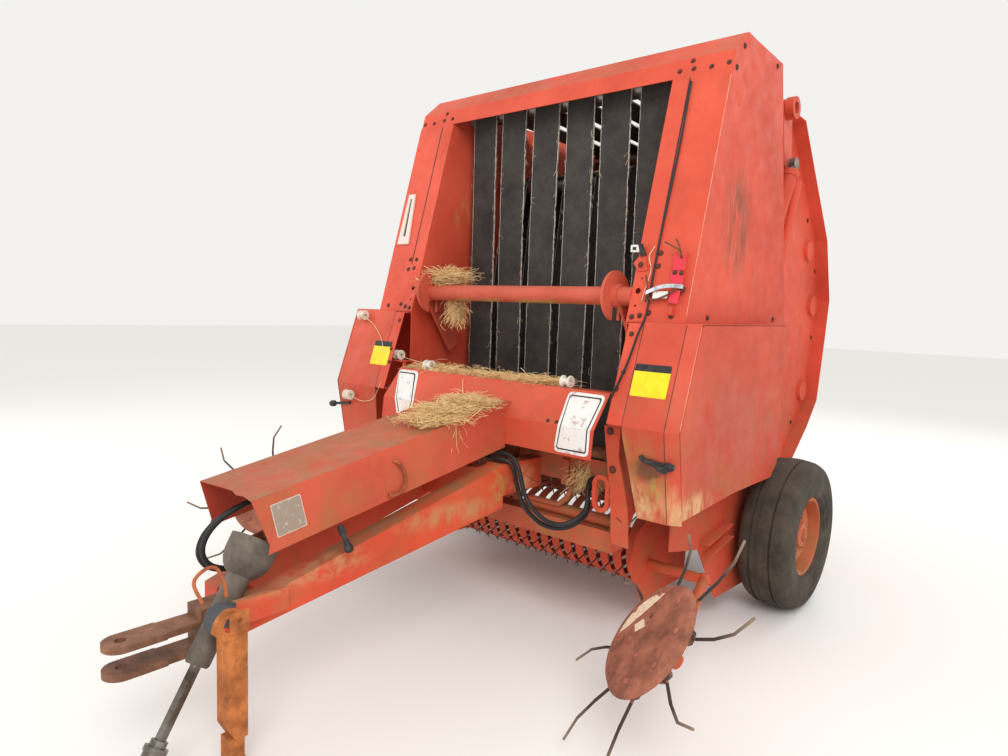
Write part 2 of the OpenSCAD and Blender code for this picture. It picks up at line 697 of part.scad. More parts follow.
// Dished rim with its hub on the spindle
module rim() bright_red() from_axle() translate([wheel_x, 0, axle_z]) rotate([0, 90, 0]) difference() {
    rotate_extrude($fn = 96) polygon([
        [30 + fit, -100], [60, -100], [60, 10], [120, 36], [rim_d / 2 - 22, 20],
        [rim_d / 2 - 22, -90], [rim_d / 2 - seat, -90], [rim_d / 2 - seat, 90],
        [rim_d / 2 - 16, 90], [rim_d / 2 - 22, 40], [110, 56], [62, 34], [55, 70], [20, 78],
        [0, 78], [0, 48], [30 + fit, 48]
    ]);
}
module rim_left() rim();
module rim_right() mirror([1, 0, 0]) rim();

// Jack leg on its clamp: outer tube with a beveled end, inner leg and foot on the ground
module jack_leg() rust() from_axle() {
    foot_y = jack_pivot[1] + 22;
    half = jack_w / 2;
    translate([jack_pivot[0], jack_pivot[1], jack_pivot[2]]) difference() {
        rotate([0, 90, 0]) translate([0, 0, -half - 4]) cylinder(h = jack_w + 8, r = 45, $fn = 48);
        rotate([0, 90, 0]) translate([0, 0, -jack_w]) cylinder(h = 2 * jack_w, r = 20 + fit, $fn = 48);
    }
    plate([
        [foot_y - half, 150], [foot_y - half + 24, 106], [foot_y + half, 106],
        [foot_y + half, 430], [foot_y - half, 420]
    ], jack_pivot[0] - half, jack_w);
    block([jack_pivot[0] - half + 7, foot_y - half + 7, 6], [jack_pivot[0] + half - 7, foot_y + half - 7, 110]);
    block([jack_pivot[0] - 40, foot_y - 52, 0], [jack_pivot[0] + 40, foot_y + 52, 8]);
    // Plate over the clamp, with the lock pin's hole
    difference() {
        block([jack_pivot[0] + half + 3, jack_pivot[1] - 6, 430], [jack_pivot[0] + half + 10, jack_pivot[1] + 52, 492]);
        rod_x([jack_pivot[1] + 24, 466], 7, jack_pivot[0], 60);
    }
}

// Guard of the driveline: a bell round the joint and a long tube
drive_dir = unit(yoke_end - joint);
module along_drive() {
    d = drive_dir;
    translate(joint) rotate([0, 0, atan2(d[1], d[0])]) rotate([0, 90 - asin(d[2]), 0]) children();
}
drive_l = norm(yoke_end - joint);
module guard_shell() from_axle() along_drive()
    rotate_extrude($fn = 64) polygon([
        [shaft_r + fit, 45], [28, 30], [30, 82], [46, 76], [58, 66], [68, 48], [73, 24], [74, -24],
        [78, -24], [77, 26], [72, 51], [62, 71], [50, 84], [guard_r, 92], [guard_r, 352],
        [guard_r - 5, 360], [shaft_r + fit, 360]
    ]);
module joint_hub() from_axle() difference() {
    along_drive() translate([0, 0, -26]) cylinder(h = 80, r = 28, $fn = 48);
    rod_x([joint[1], joint[2]], 10 + fit, joint[0] - 60, 120);
}
module pto_guard() color([0.36, 0.33, 0.28]) {
    guard_shell();
    joint_hub();
}
module pto_shaft() steel() from_axle() along_drive() difference() {
    union() {
        translate([0, 0, 215]) cylinder(h = 150, r = shaft_r, $fn = 48);
        translate([0, 0, drive_l / 2 + 110]) cube([1.4 * shaft_r, 1.4 * shaft_r, drive_l - 320], center = true);
        translate([0, 0, drive_l - 118]) cylinder(h = 22, r = 24, $fn = 48);
        translate([0, 0, drive_l - 100]) cylinder(h = 14, r = 34, $fn = 48);
        translate([0, 0, drive_l - 88]) cylinder(h = 88, r = 30, $fn = 48);
        translate([0, 0, drive_l - 46]) cylinder(h = 26, r = 39, $fn = 48);
    }
    translate([0, 0, drive_l - 70]) cylinder(h = 80, d = yoke_bore_d, $fn = 48);
}

// Pickup: side plates, stripper bands between the tines, and the gathering wheels' arms
pickup_half = half_w - 18;
shield_hinge_r = 8;
module pickup_frame() bright_red() from_axle() {
    pitch = 2 * pickup_half / band_count;
    for (side = [-1, 1]) on_side(side)
        plate([[-860, 300], [-740, 130], [-350, 130], [-330, 500], [-380, 560], [-480, 560], [-640, 530], [-800, 440]],
            pickup_half, 6);
    // Stripper bands, each bent round the reel and open to the rear
    rear_y = reel[0] + tine_tip_r + 20;
    for (i = [0 : band_count - 1])
        translate([-pickup_half + pitch * (i + 0.5) - 21, 0, 0]) rotate([90, 0, 90])
            linear_extrude(42) difference() {
                union() {
                    translate(reel) circle(r = band_r, $fn = 48);
                    translate([reel[0], reel[1] - band_r]) square([rear_y - reel[0], 2 * band_r]);
                }
                translate(reel) circle(r = band_r - 3, $fn = 48);
                translate([reel[0], reel[1] - band_r + 3])
                    square([rear_y - reel[0] + 1, 2 * band_r - 6]);
            }
    for (side = [-1, 1]) on_side(side) rod_x(lift_axis, 15, pickup_half, 30);
    block([-pickup_half, rear_y, reel[1] - band_r], [pickup_half, rear_y + 6, reel[1] - 40]);
    block([-pickup_half, rear_y, reel[1] + band_r - 14], [pickup_half, rear_y + 20, reel[1] + band_r]);
    for (side = [-1, 1]) on_side(side) {
        arm_end = disc_hub - 120 * face_dir;
        bar([pickup_half, arm_knee[1], arm_knee[2]], arm_knee, 22);
        bar(arm_knee, arm_end, 20);
        translate(arm_knee) sphere(r = 27, $fn = 32);
        bar(arm_end - 20 * face_dir, arm_end + 110 * face_dir, 12);
        bar(arm_end - 20 * face_dir, arm_end + 20 * face_dir, 24);
    }
}

// Tined reel inside the bands
module pickup_reel() steel() from_axle() {
    pitch = 2 * pickup_half / band_count;
    rod_x(reel, 30, seat - pickup_half, 2 * pickup_half - 2 * seat);
    for (r = [0 : tine_rows - 1], i = [1 : band_count - 1]) {
        a = 360 * r / tine_rows + 20;
        x = -pickup_half + pitch * i;
        bar([x, reel[0], reel[1]], [x, reel[0] + tine_tip_r * cos(a), reel[1] + tine_tip_r * sin(a)], 3);
    }
}

// Gathering wheel: a disc with a rolled rim, and coiled tines bolted on behind it
module gather_wheel() rust() from_axle() translate(disc_hub)
    rotate([0, 0, -face_turn]) rotate([90, 0, 0]) rotate([-face_rise, 0, 0]) {
        rotate_extrude($fn = 96) polygon([
            [0, 0], [disc_r - 42, 0], [disc_r - 12, -8], [disc_r, -24], [disc_r - 4, -26],
            [disc_r - 15, -12], [disc_r - 43, -4], [0, -4]
        ]);
        difference() {
            translate([0, 0, -40]) cylinder(h = 38, r = 35, $fn = 48);
            translate([0, 0, -41]) cylinder(h = 35, r = 12 + fit, $fn = 48);
        }
        tine = [
            [disc_r - 23, -2, -44], [disc_r + 75, -14, -42],
            [disc_r + 155, -10, -38], [gather_r - 4, 28, -34]
        ];
        for (k = [0 : 7]) rotate([0, 0, 45 * k - 7]) {
            translate([disc_r - 59, -13, -20]) cube([26, 26, 17]);
            translate([disc_r - 30, 20, -32]) rotate([90, 0, 0]) cylinder(h = 40, r = 17, $fn = 32);
            for (i = [0 : 2]) bar(tine[i], tine[i + 1], 5 - 0.4 * i);
        }
    }
module gather_wheel_left() gather_wheel();
module gather_wheel_right() mirror([1, 0, 0]) gather_wheel();

side_wall_left();
side_wall_right();
side_box_left();
side_box_right();
top_fascia();
front_panel();
lower_panel_left();
lower_panel_right();
side_shield_left();
side_shield_right();
tongue();
hitch_clevis();
driveline_cover();
gearbox();
inner_driveshaft();
axle();
cross_members();
frame_rollers();
belts();
tension_arm();
twine_guides();
front_controls();
hose_front_a();
hose_front_b();
hose_side_a();
hose_side_b();
gate_side_left();
gate_side_right();
gate_frame();
gate_rollers();
cylinder_barrel_left();
cylinder_barrel_right();
cylinder_rod_left();
cylinder_rod_right();
tyre_left();
tyre_right();
rim_left();
rim_right();
jack_leg();
pto_guard();
pto_shaft();
pickup_frame();
pickup_reel();
gather_wheel_left();
gather_wheel_right();
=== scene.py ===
# %% [markdown]
# A round baler that has stood outside for years: faded red sheet metal, rubber belts, rusty
# drawbar parts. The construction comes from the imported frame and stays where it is. This lesson
# dresses it: the camera first, then one finish for each kind of surface, then the pieces that
# only show close up, such as tread, bolts, labels, twine and hay, and last the free hoses.

# %% Load the frame
import math

import bpy
import numpy as np
from mathutils import Matrix


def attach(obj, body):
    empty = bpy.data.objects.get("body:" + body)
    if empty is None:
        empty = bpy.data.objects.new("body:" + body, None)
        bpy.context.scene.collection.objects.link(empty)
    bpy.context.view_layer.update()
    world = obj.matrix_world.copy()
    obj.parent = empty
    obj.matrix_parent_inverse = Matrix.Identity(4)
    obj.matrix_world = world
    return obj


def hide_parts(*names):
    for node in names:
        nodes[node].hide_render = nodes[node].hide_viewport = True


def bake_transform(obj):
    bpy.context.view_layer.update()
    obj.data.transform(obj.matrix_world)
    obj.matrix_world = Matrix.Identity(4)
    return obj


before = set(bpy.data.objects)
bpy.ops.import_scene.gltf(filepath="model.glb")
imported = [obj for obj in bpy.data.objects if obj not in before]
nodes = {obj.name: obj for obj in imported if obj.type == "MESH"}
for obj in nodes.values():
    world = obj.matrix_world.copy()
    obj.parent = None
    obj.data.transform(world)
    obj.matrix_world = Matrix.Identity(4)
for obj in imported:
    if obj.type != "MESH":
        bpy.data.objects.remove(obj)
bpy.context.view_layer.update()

# %% [markdown]
# The frame's origin is in the middle of the machine's length. Most places on the machine are
# easier to name from the axle, so AXLE_Y carries them over. Everything is in metres, the hitch
# points along -Y and the machine's left side is +X.

# %% Named places
AXLE_Y = 0.720


def at(x, y, z):
    """A point given from the axle's middle, moved into the frame's own coordinates."""
    return np.array([x, y + AXLE_Y, z], float)


# %% [markdown]
# The photograph was taken standing off the left front corner, with the camera at chest height
# and held slightly askew. A plain perspective camera has only seven numbers: place, heading,
# pitch, roll and lens. They were solved from measured points, and are written here as the
# angles that a photographer would use.

# %% Camera
def add_object(name, data):
    """Puts a mesh, camera or light into the scene as an object."""
    made = bpy.data.objects.new(name, data)
    bpy.context.scene.collection.objects.link(made)
    return made


EYE = at(2.0554, -3.361, 1.3697)
HEADING = math.radians(40.94)
PITCH_DOWN = math.radians(5.84)
ROLL = math.radians(1.95)
LENS_MM, SENSOR_MM = 25.23, 36
FARTHEST = 200

forward = np.array([
    -math.sin(HEADING) * math.cos(PITCH_DOWN),
    math.cos(HEADING) * math.cos(PITCH_DOWN),
    -math.sin(PITCH_DOWN),
])
level_right = np.array([math.cos(HEADING), math.sin(HEADING), 0.0])
level_up = np.cross(level_right, forward)
right = level_right * math.cos(ROLL) + level_up * math.sin(ROLL)
up = level_up * math.cos(ROLL) - level_right * math.sin(ROLL)
camera_data = bpy.data.cameras.new("camera")
camera_data.lens = LENS_MM
camera_data.sensor_width = SENSOR_MM
camera_data.clip_end = FARTHEST
camera = add_object("camera", camera_data)
turn = Matrix([list(right), list(up), list(-forward)]).transposed().to_4x4()
camera.matrix_world = Matrix.Translation(EYE.tolist()) @ turn
bpy.context.scene.camera = camera
print("camera at", np.round(EYE, 3))

# %% [markdown]
# A mesh is two lists: points and faces. Every helper below returns such a pair as numpy arrays,
# so that many small shapes can be stacked into one piece before Blender sees them. Faces of
# three and four corners are kept apart because an array needs rows of one length.

# %% Shapes as arrays
def stack(shapes):
    """Joins (points, faces) shapes, raising each shape's face numbers by the points before it."""
    points, faces, count = [], [], 0
    for shape_points, shape_faces in shapes:
        points.append(shape_points)
        faces += [rows + count for rows in shape_faces]
        count += len(shape_points)
    return np.concatenate(points), faces


def grid_faces(rows, columns, wrap_rows=False, wrap_columns=False):
    """Quads between neighbours of a rows x columns grid; a wrapped side joins last to first."""
    r = np.arange(rows if wrap_rows else rows - 1)
    c = np.arange(columns if wrap_columns else columns - 1)
    r, c = [a.ravel() for a in np.meshgrid(r, c, indexing="ij")]
    r1, c1 = (r + 1) % rows, (c + 1) % columns
    return np.stack([r * columns + c, r * columns + c1, r1 * columns + c1, r1 * columns + c], 1)


def frame_of(axis):
    """Two unit vectors square to an axis and to each other."""
    axis = np.asarray(axis, float) / np.linalg.norm(axis)
    helper = np.array([0, 0, 1.0]) if abs(axis[2]) < 0.9 else np.array([1.0, 0, 0])
    side = np.cross(helper, axis)
    side /= np.linalg.norm(side)
    return axis, side, np.cross(axis, side)


def revolved(profile, origin, axis, steps=32):
    """Turns rows of (radius r, height h) round an axis a: p = o + h a + r (u cos t + v sin t)."""
    axis, side, other = frame_of(axis)
    angle = np.linspace(0, 2 * math.pi, steps, endpoint=False)
    round_dirs = np.cos(angle)[:, None] * side + np.sin(angle)[:, None] * other
    profile = np.asarray(profile, float)
    points = (
        np.asarray(origin, float)
        + profile[:, 1][:, None, None] * axis
        + profile[:, 0][:, None, None] * round_dirs[None]
    ).reshape(-1, 3)
    return points, [grid_faces(len(profile), steps, wrap_columns=True)]


def tube(path, radius, sides=10):
    """Rings of a fixed radius along a path. Each ring turns with the path by the least twist."""
    path = np.asarray(path, float)
    radius = np.broadcast_to(radius, len(path))
    tangent = np.gradient(path, axis=0)
    tangent /= np.linalg.norm(tangent, axis=1)[:, None]
    _, side, _ = frame_of(tangent[0])
    angle = np.linspace(0, 2 * math.pi, sides, endpoint=False)
    rings = []
    for centre, along, r in zip(path, tangent, radius):
        side = side - along * (side @ along)
        side /= np.linalg.norm(side)
        other = np.cross(along, side)
        rings.append(centre + r * (np.cos(angle)[:, None] * side + np.sin(angle)[:, None] * other))
    points = np.concatenate(rings + [path[:1], path[-1:]])
    last = len(path) * sides
    k = np.arange(sides)
    start = np.stack([np.full(sides, last), (k + 1) % sides, k], 1)
    end = np.stack([np.full(sides, last + 1), last - sides + k, last - sides + (k + 1) % sides], 1)
    return points, [grid_faces(len(path), sides, wrap_columns=True), start, end]


SPAN_STEPS = 24


def smooth_path(points, step=0.01):
    """A Catmull-Rom curve through the points, resampled at an even step, and its length."""
    p = np.asarray(points, float)
    p = np.concatenate([[2 * p[0] - p[1]], p, [2 * p[-1] - p[-2]]])
    t = np.linspace(0, 1, SPAN_STEPS, endpoint=False)[:, None]
    spans = []
    for a, b, c, d in zip(p[:-3], p[1:-2], p[2:-1], p[3:]):
        spans.append(0.5 * (2 * b + (c - a) * t + (2 * a - 5 * b + 4 * c - d) * t**2
                            + (3 * b - a - 3 * c + d) * t**3))
    curve = np.concatenate(spans + [p[-2:-1]])
    length = np.concatenate([[0], np.cumsum(np.linalg.norm(np.diff(curve, axis=0), axis=1))])
    even = np.linspace(0, length[-1], max(int(length[-1] / step), 4))
    return np.stack([np.interp(even, length, curve[:, i]) for i in range(3)], 1), length[-1]


def plate_shape(outline, thickness, origin, u, v):
    """A flat outline of (a, b) pairs, set at origin + a u + b v, with a thickness along u x v."""
    u, v = np.asarray(u, float), np.asarray(v, float)
    outline = np.asarray(outline, float)
    n = len(outline)
    face = np.asarray(origin, float) + outline[:, :1] * u + outline[:, 1:] * v
    away = np.cross(u, v) * thickness
    k = np.arange(n)
    sides = np.stack([k, (k + 1) % n, (k + 1) % n + n, k + n], 1)
    middle = np.stack([face.mean(0), face.mean(0) + away])
    low = np.stack([np.full(n, 2 * n), (k + 1) % n, k], 1)
    high = np.stack([np.full(n, 2 * n + 1), k + n, (k + 1) % n + n], 1)
    return np.concatenate([face, face + away, middle]), [sides, low, high]


def block_shape(low, high):
    """A box from its two corners."""
    x, y, z = np.subtract(high, low)
    return plate_shape([(0, 0), (x, 0), (x, y), (0, y)], z, low, (1, 0, 0), (0, 1, 0))


def piece(name, shape, body, material, smooth=False, bevel=0.0):
    """Makes a mesh object of a shape, gives it its finish and lets it ride on a body."""
    points, faces = shape
    mesh = bpy.data.meshes.new(name)
    mesh.vertices.add(len(points))
    mesh.vertices.foreach_set("co", np.ascontiguousarray(points, np.float32).ravel())
    corners = np.concatenate([rows.ravel() for rows in faces])
    sizes = np.concatenate([np.full(len(rows), rows.shape[1]) for rows in faces])
    mesh.loops.add(len(corners))
    mesh.loops.foreach_set("vertex_index", corners.astype(np.int32))
    mesh.polygons.add(len(sizes))
    starts = np.concatenate([[0], np.cumsum(sizes)[:-1]])
    mesh.polygons.foreach_set("loop_start", starts.astype(np.int32))
    mesh.polygons.foreach_set("loop_total", sizes.astype(np.int32))
    mesh.polygons.foreach_set("use_smooth", np.full(len(sizes), smooth))
    mesh.update(calc_edges=True)
    mesh.validate()
    thing = add_object(name, mesh)
    thing.data.materials.append(material)
    if bevel:
        rounding = thing.modifiers.new("rounding", "BEVEL")
        rounding.width = bevel
        rounding.segments = 2
    if body:
        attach(thing, body)
    print(name, len(points), "points")
    return thing


# %% [markdown]
# Most small pieces sit on one of a few flat sheets. A `Face` knows where such a sheet is, so a
# place on it can be read off as how far across, how high, and how far out from the paint. A
# row of such places is a path for a wire, and four of them are the corners of a sticker.

# %% Faces of the machine
class Face:
    """A flat sheet across the machine, from a low to a high edge given as (y, z) from the axle."""

    def __init__(self, low, high):
        up = np.array([0.0, high[0] - low[0], high[1] - low[1]])
        self.up = up / np.linalg.norm(up)
        self.across = np.array([1.0, 0, 0])
        self.out = np.cross(self.across, self.up)
        self.foot = at(0, *low)

    def place(self, x, z, out=0.0):
        """The point x across and z above ground, out metres in front of the sheet."""
        climb = (z - self.foot[2]) / self.up[2]
        return self.foot + x * self.across + climb * self.up + out * self.out

    def row(self, *places):
        """Several places at once, each (x, z) or (x, z, out)."""
        return [self.place(*p) for p in places]


post = Face((-1.000, 1.327), (-0.740, 2.289))
upper = Face((-1.148, 0.946), (-1.019, 1.327))
lower = Face((-1.086, 0.600), (-1.148, 0.946))
panel_low = Face((-1.185, 0.805), (-1.175, 0.915))
panel_high = Face((-1.175, 0.915), (-1.070, 1.050))
strap_face = Face((-1.100, 0.480), (-1.100, 0.946))
fascia = Face((-0.735, 2.289), (-0.712, 2.366))


FOIL = 0.0004


def rounded(corners, radii, steps=5):
    """Swaps each corner of an outline for a short curve from one side to the next."""
    corners = [np.asarray(c, float) for c in corners]
    outline = []
    for i, (corner, radius) in enumerate(zip(corners, radii)):
        if radius == 0:
            outline.append(corner)
            continue
        before, after = corners[i - 1] - corner, corners[(i + 1) % len(corners)] - corner
        start = corner + before / np.linalg.norm(before) * radius
        end = corner + after / np.linalg.norm(after) * radius
        for t in np.linspace(0, 1, steps):
            outline.append((1 - t) ** 2 * start + 2 * t * (1 - t) * corner + t**2 * end)
    return outline


def sticker(face, corners, radii, out, thickness=FOIL):
    """A thin plate on a face from (x, z) corners, listed clockwise from the top left as seen."""
    outline = face.row(*rounded(corners, radii))
    rows = np.array([[p[0], (p - face.foot) @ face.up] for p in outline])[::-1]
    return plate_shape(rows, thickness, face.foot + face.out * out, face.across, face.up)


def strip(face, left, right, high, low, out, radii=(0, 0, 0, 0)):
    """An upright sticker between two places across and two heights."""
    return sticker(face, [(left, high), (right, high), (right, low), (left, low)], radii, out)


def hex_head(place, axis, radius, height=None):
    """A worn bolt head: six sides with a rounded top, on a flat washer."""
    r, h = radius, height or 0.7 * radius
    head = revolved([(0, h), (0.8 * r, h), (r, 0.75 * h), (r, 0)], place, axis, 6)
    washer = revolved([(0, 0.16 * r), (1.45 * r, 0.14 * r), (1.5 * r, 0)], place, axis, 20)
    return stack([head, washer])


def heads_on(face, places, radius, out=FOIL, height=None):
    """Hexagon heads at (x, z) places on a face."""
    return [hex_head(face.place(x, z, out), face.out, radius, height) for x, z in places]


def round_head(place, axis, radius):
    """A domed carriage bolt head."""
    profile = [(radius * math.sin(t), 0.45 * radius * math.cos(t))
               for t in np.linspace(0, math.pi / 2, 6)]
    return revolved(profile, place, axis, 20)


ASKEW = [0.31, 0.77, 0.55]


def strands(start, along, length, radius, bend, rings=4):
    """Thin three-sided stalks: p(t) = start + along length t + bend 4 t (1 - t), many at once."""
    count = len(start)
    t = np.linspace(0, 1, rings)[None, :, None]
    along = along / np.linalg.norm(along, axis=1)[:, None]
    path = (start[:, None] + along[:, None] * length[:, None, None] * t
            + bend[:, None] * 4 * t * (1 - t))
    side = np.cross(along, ASKEW)
    side /= np.linalg.norm(side, axis=1)[:, None]
    other = np.cross(along, side)
    turn = np.arange(3) * 2 * math.pi / 3
    ring = np.cos(turn)[:, None] * side[:, None] + np.sin(turn)[:, None] * other[:, None]
    points = path[:, :, None] + ring[:, None] * radius[:, None, None, None]
    faces = grid_faces(rings, 3, wrap_columns=True)
    faces = (faces[None] + (np.arange(count) * rings * 3)[:, None, None]).reshape(-1, 4)
    return points.reshape(-1, 3), [faces]


FARTHEST_STALK = 1.8


def straw_heap(middle, spread, count, length=(0.03, 0.09), lie=0.25, droop=0.0):
    """Straw scattered round a middle: flat when lie is small, hanging when droop is large."""
    scatter = rng.normal(0, 1, (count, 3)).clip(-FARTHEST_STALK, FARTHEST_STALK) / FARTHEST_STALK
    place = np.asarray(middle, float) + scatter * np.asarray(spread)
    heading = rng.uniform(0, 2 * math.pi, count)
    along = np.stack([np.cos(heading), np.sin(heading), rng.normal(-droop, lie, count)], 1)
    size = rng.uniform(*length, count)
    bend = rng.normal(0, 1, (count, 3)) * (0.12 * size)[:, None]
    return strands(place, along, size, rng.uniform(0.0006, 0.0013, count), bend)


SEED = 7
rng = np.random.default_rng(SEED)
print("helpers ready")

# %% [markdown]
# A finish is built from a few patterns in object coordinates: clouds of noise at different
# sizes, the height above ground, and which way a face looks. Old paint fades in clouds, rain
# draws streaks down it, and dust lies on what faces up, so those three drive the colour.

# %% Finish helpers
def rgb(r, g, b):
    """A colour as read off a screen, 0 to 255, turned into light values."""
    c = np.array([r, g, b]) / 255
    return tuple(np.where(c <= 0.04045, c / 12.92, ((c + 0.055) / 1.055) ** 2.4)) + (1.0,)


def darker(tone, share):
    """A share of a colour's light."""
    return tuple(c * share for c in tone[:3]) + (1.0,)


SPECULAR = 0.3


class Finish:
    """A material under construction: each method adds one pattern and returns its output."""

    def __init__(self, name, roughness=0.5, metallic=0.0):
        self.material = bpy.data.materials.new(name)
        self.material.use_nodes = True
        self.tree = self.material.node_tree
        self.shader = self.tree.nodes["Principled BSDF"]
        self.fill(self.shader, {"Metallic": metallic, "Roughness": roughness,
                                "Specular IOR Level": SPECULAR})
        self.place = self.tree.nodes.new("ShaderNodeTexCoord")

    def fill(self, node, values):
        """Sets a node's inputs: plain values stay on the socket, outputs are linked to it."""
        for key, value in values.items():
            if isinstance(value, bpy.types.NodeSocket):
                self.tree.links.new(value, node.inputs[key])
            else:
                node.inputs[key].default_value = value
        return node

    def node(self, kind, values, **settings):
        """Adds a node with its settings and inputs."""
        made = self.tree.nodes.new(kind)
        for key, value in settings.items():
            setattr(made, key, value)
        return self.fill(made, values)

    def noise(self, scale, detail=4.0, roughness=0.55, stretch=(1, 1, 1)):
        """Clouds of a size of 1 / scale metres, stretched along the axes with small factors."""
        spread = self.node("ShaderNodeMapping", {
            "Scale": stretch, "Vector": self.place.outputs["Object"]})
        return self.node("ShaderNodeTexNoise", {
            "Scale": scale, "Detail": detail, "Roughness": roughness,
            "Vector": spread.outputs["Vector"]}).outputs["Fac"]

    def between(self, value, low, high, out_low=0.0, out_high=1.0):
        """0 below low and 1 above high, or the two values given."""
        return self.node("ShaderNodeMapRange", {
            "From Min": low, "From Max": high, "To Min": out_low, "To Max": out_high,
            "Value": value}).outputs["Result"]

    def patches(self, scale, detail, roughness, low, high, amount=None, stretch=(1, 1, 1)):
        """Clouds cut to patches between two levels, with a strength."""
        spots = self.between(self.noise(scale, detail, roughness, stretch), low, high)
        return spots if amount is None else self.times(spots, amount)

    def part(self, name, axis):
        """One axis of the object coordinates or of the object's normal."""
        split = self.node("ShaderNodeSeparateXYZ", {"Vector": self.place.outputs[name]})
        return split.outputs[axis]

    def times(self, a, b):
        """The product of two values, kept between 0 and 1."""
        return self.node("ShaderNodeMath", {0: a, 1: b}, operation="MULTIPLY",
                         use_clamp=True).outputs["Value"]

    def mix(self, factor, under, over):
        """Colour over laid on colour under by a factor."""
        return self.node("ShaderNodeMix", {"Factor": factor, "A": under, "B": over},
                         data_type="RGBA").outputs["Result"]

    def stain(self, colour, middle, reach, tone, amount=0.8, grain=9, streak=1.0):
        """Lays a tone over a colour inside an ellipsoid |(p - middle) / reach| < 1, in noisy
        patches. A grain of 0 makes the stain solid with a sharp edge."""
        middle, reach = np.asarray(middle, float), np.asarray(reach, float)
        inside = self.node("ShaderNodeMapping", {
            "Scale": tuple(1 / reach), "Location": tuple(-middle / reach),
            "Vector": self.place.outputs["Object"]})
        distance = self.node("ShaderNodeVectorMath", {0: inside.outputs["Vector"]},
                             operation="LENGTH")
        factor = self.between(distance.outputs["Value"], 1.0, 0.45 if grain else 0.98)
        if grain:
            spots = self.patches(grain, 6, 0.65, 0.42, 0.56, stretch=(1, 1, streak))
            factor = self.times(factor, spots)
        return self.mix(self.times(factor, amount), colour, tone)

    def made(self, colour, stains=(), bump=None):
        """Connects the colour, its stains and a bump (scale, detail, roughness, strength,
        distance, stretch), and gives the finished material."""
        for stain in stains:
            colour = self.stain(colour, *stain)
        self.fill(self.shader, {"Base Color": colour})
        if bump:
            scale, detail, roughness, strength, distance, *stretch = bump
            relief = self.node("ShaderNodeBump", {
                "Strength": strength, "Distance": distance,
                "Height": self.noise(scale, detail, roughness, *stretch)})
            self.fill(self.shader, {"Normal": relief.outputs["Normal"]})
        return self.material


# %% [markdown]
# Faded paint. The real machine's red has chalked to a dull salmon where the sun reaches it and
# stays deeper where it is shaded. Rain streaks, a brown film of dust on what faces up, specks
# of rust and a green-brown growth near the ground lie over it.

# %% Paint
def paint(name, deep, faded, dust_up=0.5, low_dirt=0.5, dirt_top=1.2, rust=0.5, stains=()):
    """Old red paint: fade clouds, streaks, dust on top, dirt below a height, specks, stains,
    painted sun and shade.
    """
    f = Finish(name)
    colour = f.mix(f.patches(1.7, 5, 0.55, 0.35, 0.65), deep, faded)
    colour = f.mix(f.patches(9, 6, 0.65, 0.52, 0.75, 0.28), colour, darker(deep, 0.72))
    streaks = f.patches(16, 4, 0.6, 0.55, 0.75, 0.22, (1, 1, 0.08))
    colour = f.mix(streaks, colour, rgb(140, 82, 58))
    up = f.between(f.part("Normal", "Z"), 0.45, 0.9)
    film = f.times(f.times(up, f.patches(6, 6, 0.7, 0.35, 0.62)), dust_up)
    colour = f.mix(film, colour, rgb(150, 112, 78))
    low = f.between(f.part("Object", "Z"), dirt_top, dirt_top * 0.45)
    growth = f.times(f.times(low, f.patches(5, 8, 0.7, 0.45, 0.68)), low_dirt)
    colour = f.mix(growth, colour, rgb(150, 112, 66))
    colour = f.mix(f.patches(38, 6, 0.7, 0.66, 0.72, rust), colour, rgb(92, 50, 32))
    f.fill(f.shader, {"Roughness": f.between(f.noise(14, 4), 0.3, 0.7, 0.46, 0.72)})
    return f.made(colour, stains, (60, 4, 0.6, 0.12, 0.002))


# Each stain is (middle, half sizes, colour, strength, grain, stretch along the height). Two of the
# cross member's are painted sunlight and shade rather than stains.
BROWN, BEIGE, OLIVE = rgb(126, 76, 54), rgb(214, 168, 120), rgb(166, 146, 76)
collar = (at(0.185, -2.418, 0.468), (0.078, 0.066, 0.052), rgb(78, 78, 82), 1.0, 0)
body_stains = [
    (at(0.864, -0.600, 1.720), (0.05, 0.170, 0.250), BROWN, 0.75, 40, 0.12),
    (at(-0.618, -0.655, 1.840), (0.04, 0.070, 0.110), OLIVE, 0.6, 12, 0.4),
    (at(0.820, -1.000, 1.300), (0.12, 0.060, 0.060), rgb(160, 112, 74), 0.6, 7),
    (at(0.780, -1.120, 0.985), (0.10, 0.050, 0.040), rgb(176, 100, 72), 0.8, 5),
]
lower_stains = [
    (at(0.760, -1.120, 0.800), (0.140, 0.060, 0.180), rgb(176, 120, 70), 0.75, 6, 0.5),
    (at(0.712, -1.110, 0.800), (0.040, 0.060, 0.190), OLIVE, 0.9, 8, 0.4),
    (at(0.785, -1.100, 0.660), (0.130, 0.090, 0.110), BEIGE, 0.95, 12, 0.4),
    (at(0.850, -1.110, 0.700), (0.060, 0.070, 0.120), OLIVE, 0.9, 10, 0.4),
    (at(0.815, -1.125, 0.795), (0.080, 0.060, 0.060), rgb(112, 72, 50), 0.9, 9),
    (at(0.910, -1.070, 0.660), (0.040, 0.070, 0.120), BEIGE, 0.8, 18, 0.3),
    (at(0.929, -0.985, 0.640), (0.050, 0.190, 0.085), BEIGE, 0.95, 22, 0.25),
    (at(0.929, -0.700, 0.900), (0.050, 0.450, 0.300), rgb(186, 92, 74), 0.6, 7, 0.4),
    (at(0.000, -1.170, 0.830), (0.600, 0.060, 0.060), rgb(150, 92, 66), 0.7, 8),
]
frame_stains = [
    (at(0.225, -1.540, 0.580), (0.080, 0.330, 0.055), rgb(190, 132, 88), 0.8, 14, 0.5),
    (at(0.240, -1.275, 0.665), (0.070, 0.060, 0.090), OLIVE, 0.9, 9),
    (at(0.150, -2.120, 0.500), (0.100, 0.330, 0.060), rgb(196, 140, 100), 0.7, 18),
    (at(0.205, -1.130, 0.650), (0.080, 0.120, 0.090), BEIGE, 0.7, 12),
    collar,
]
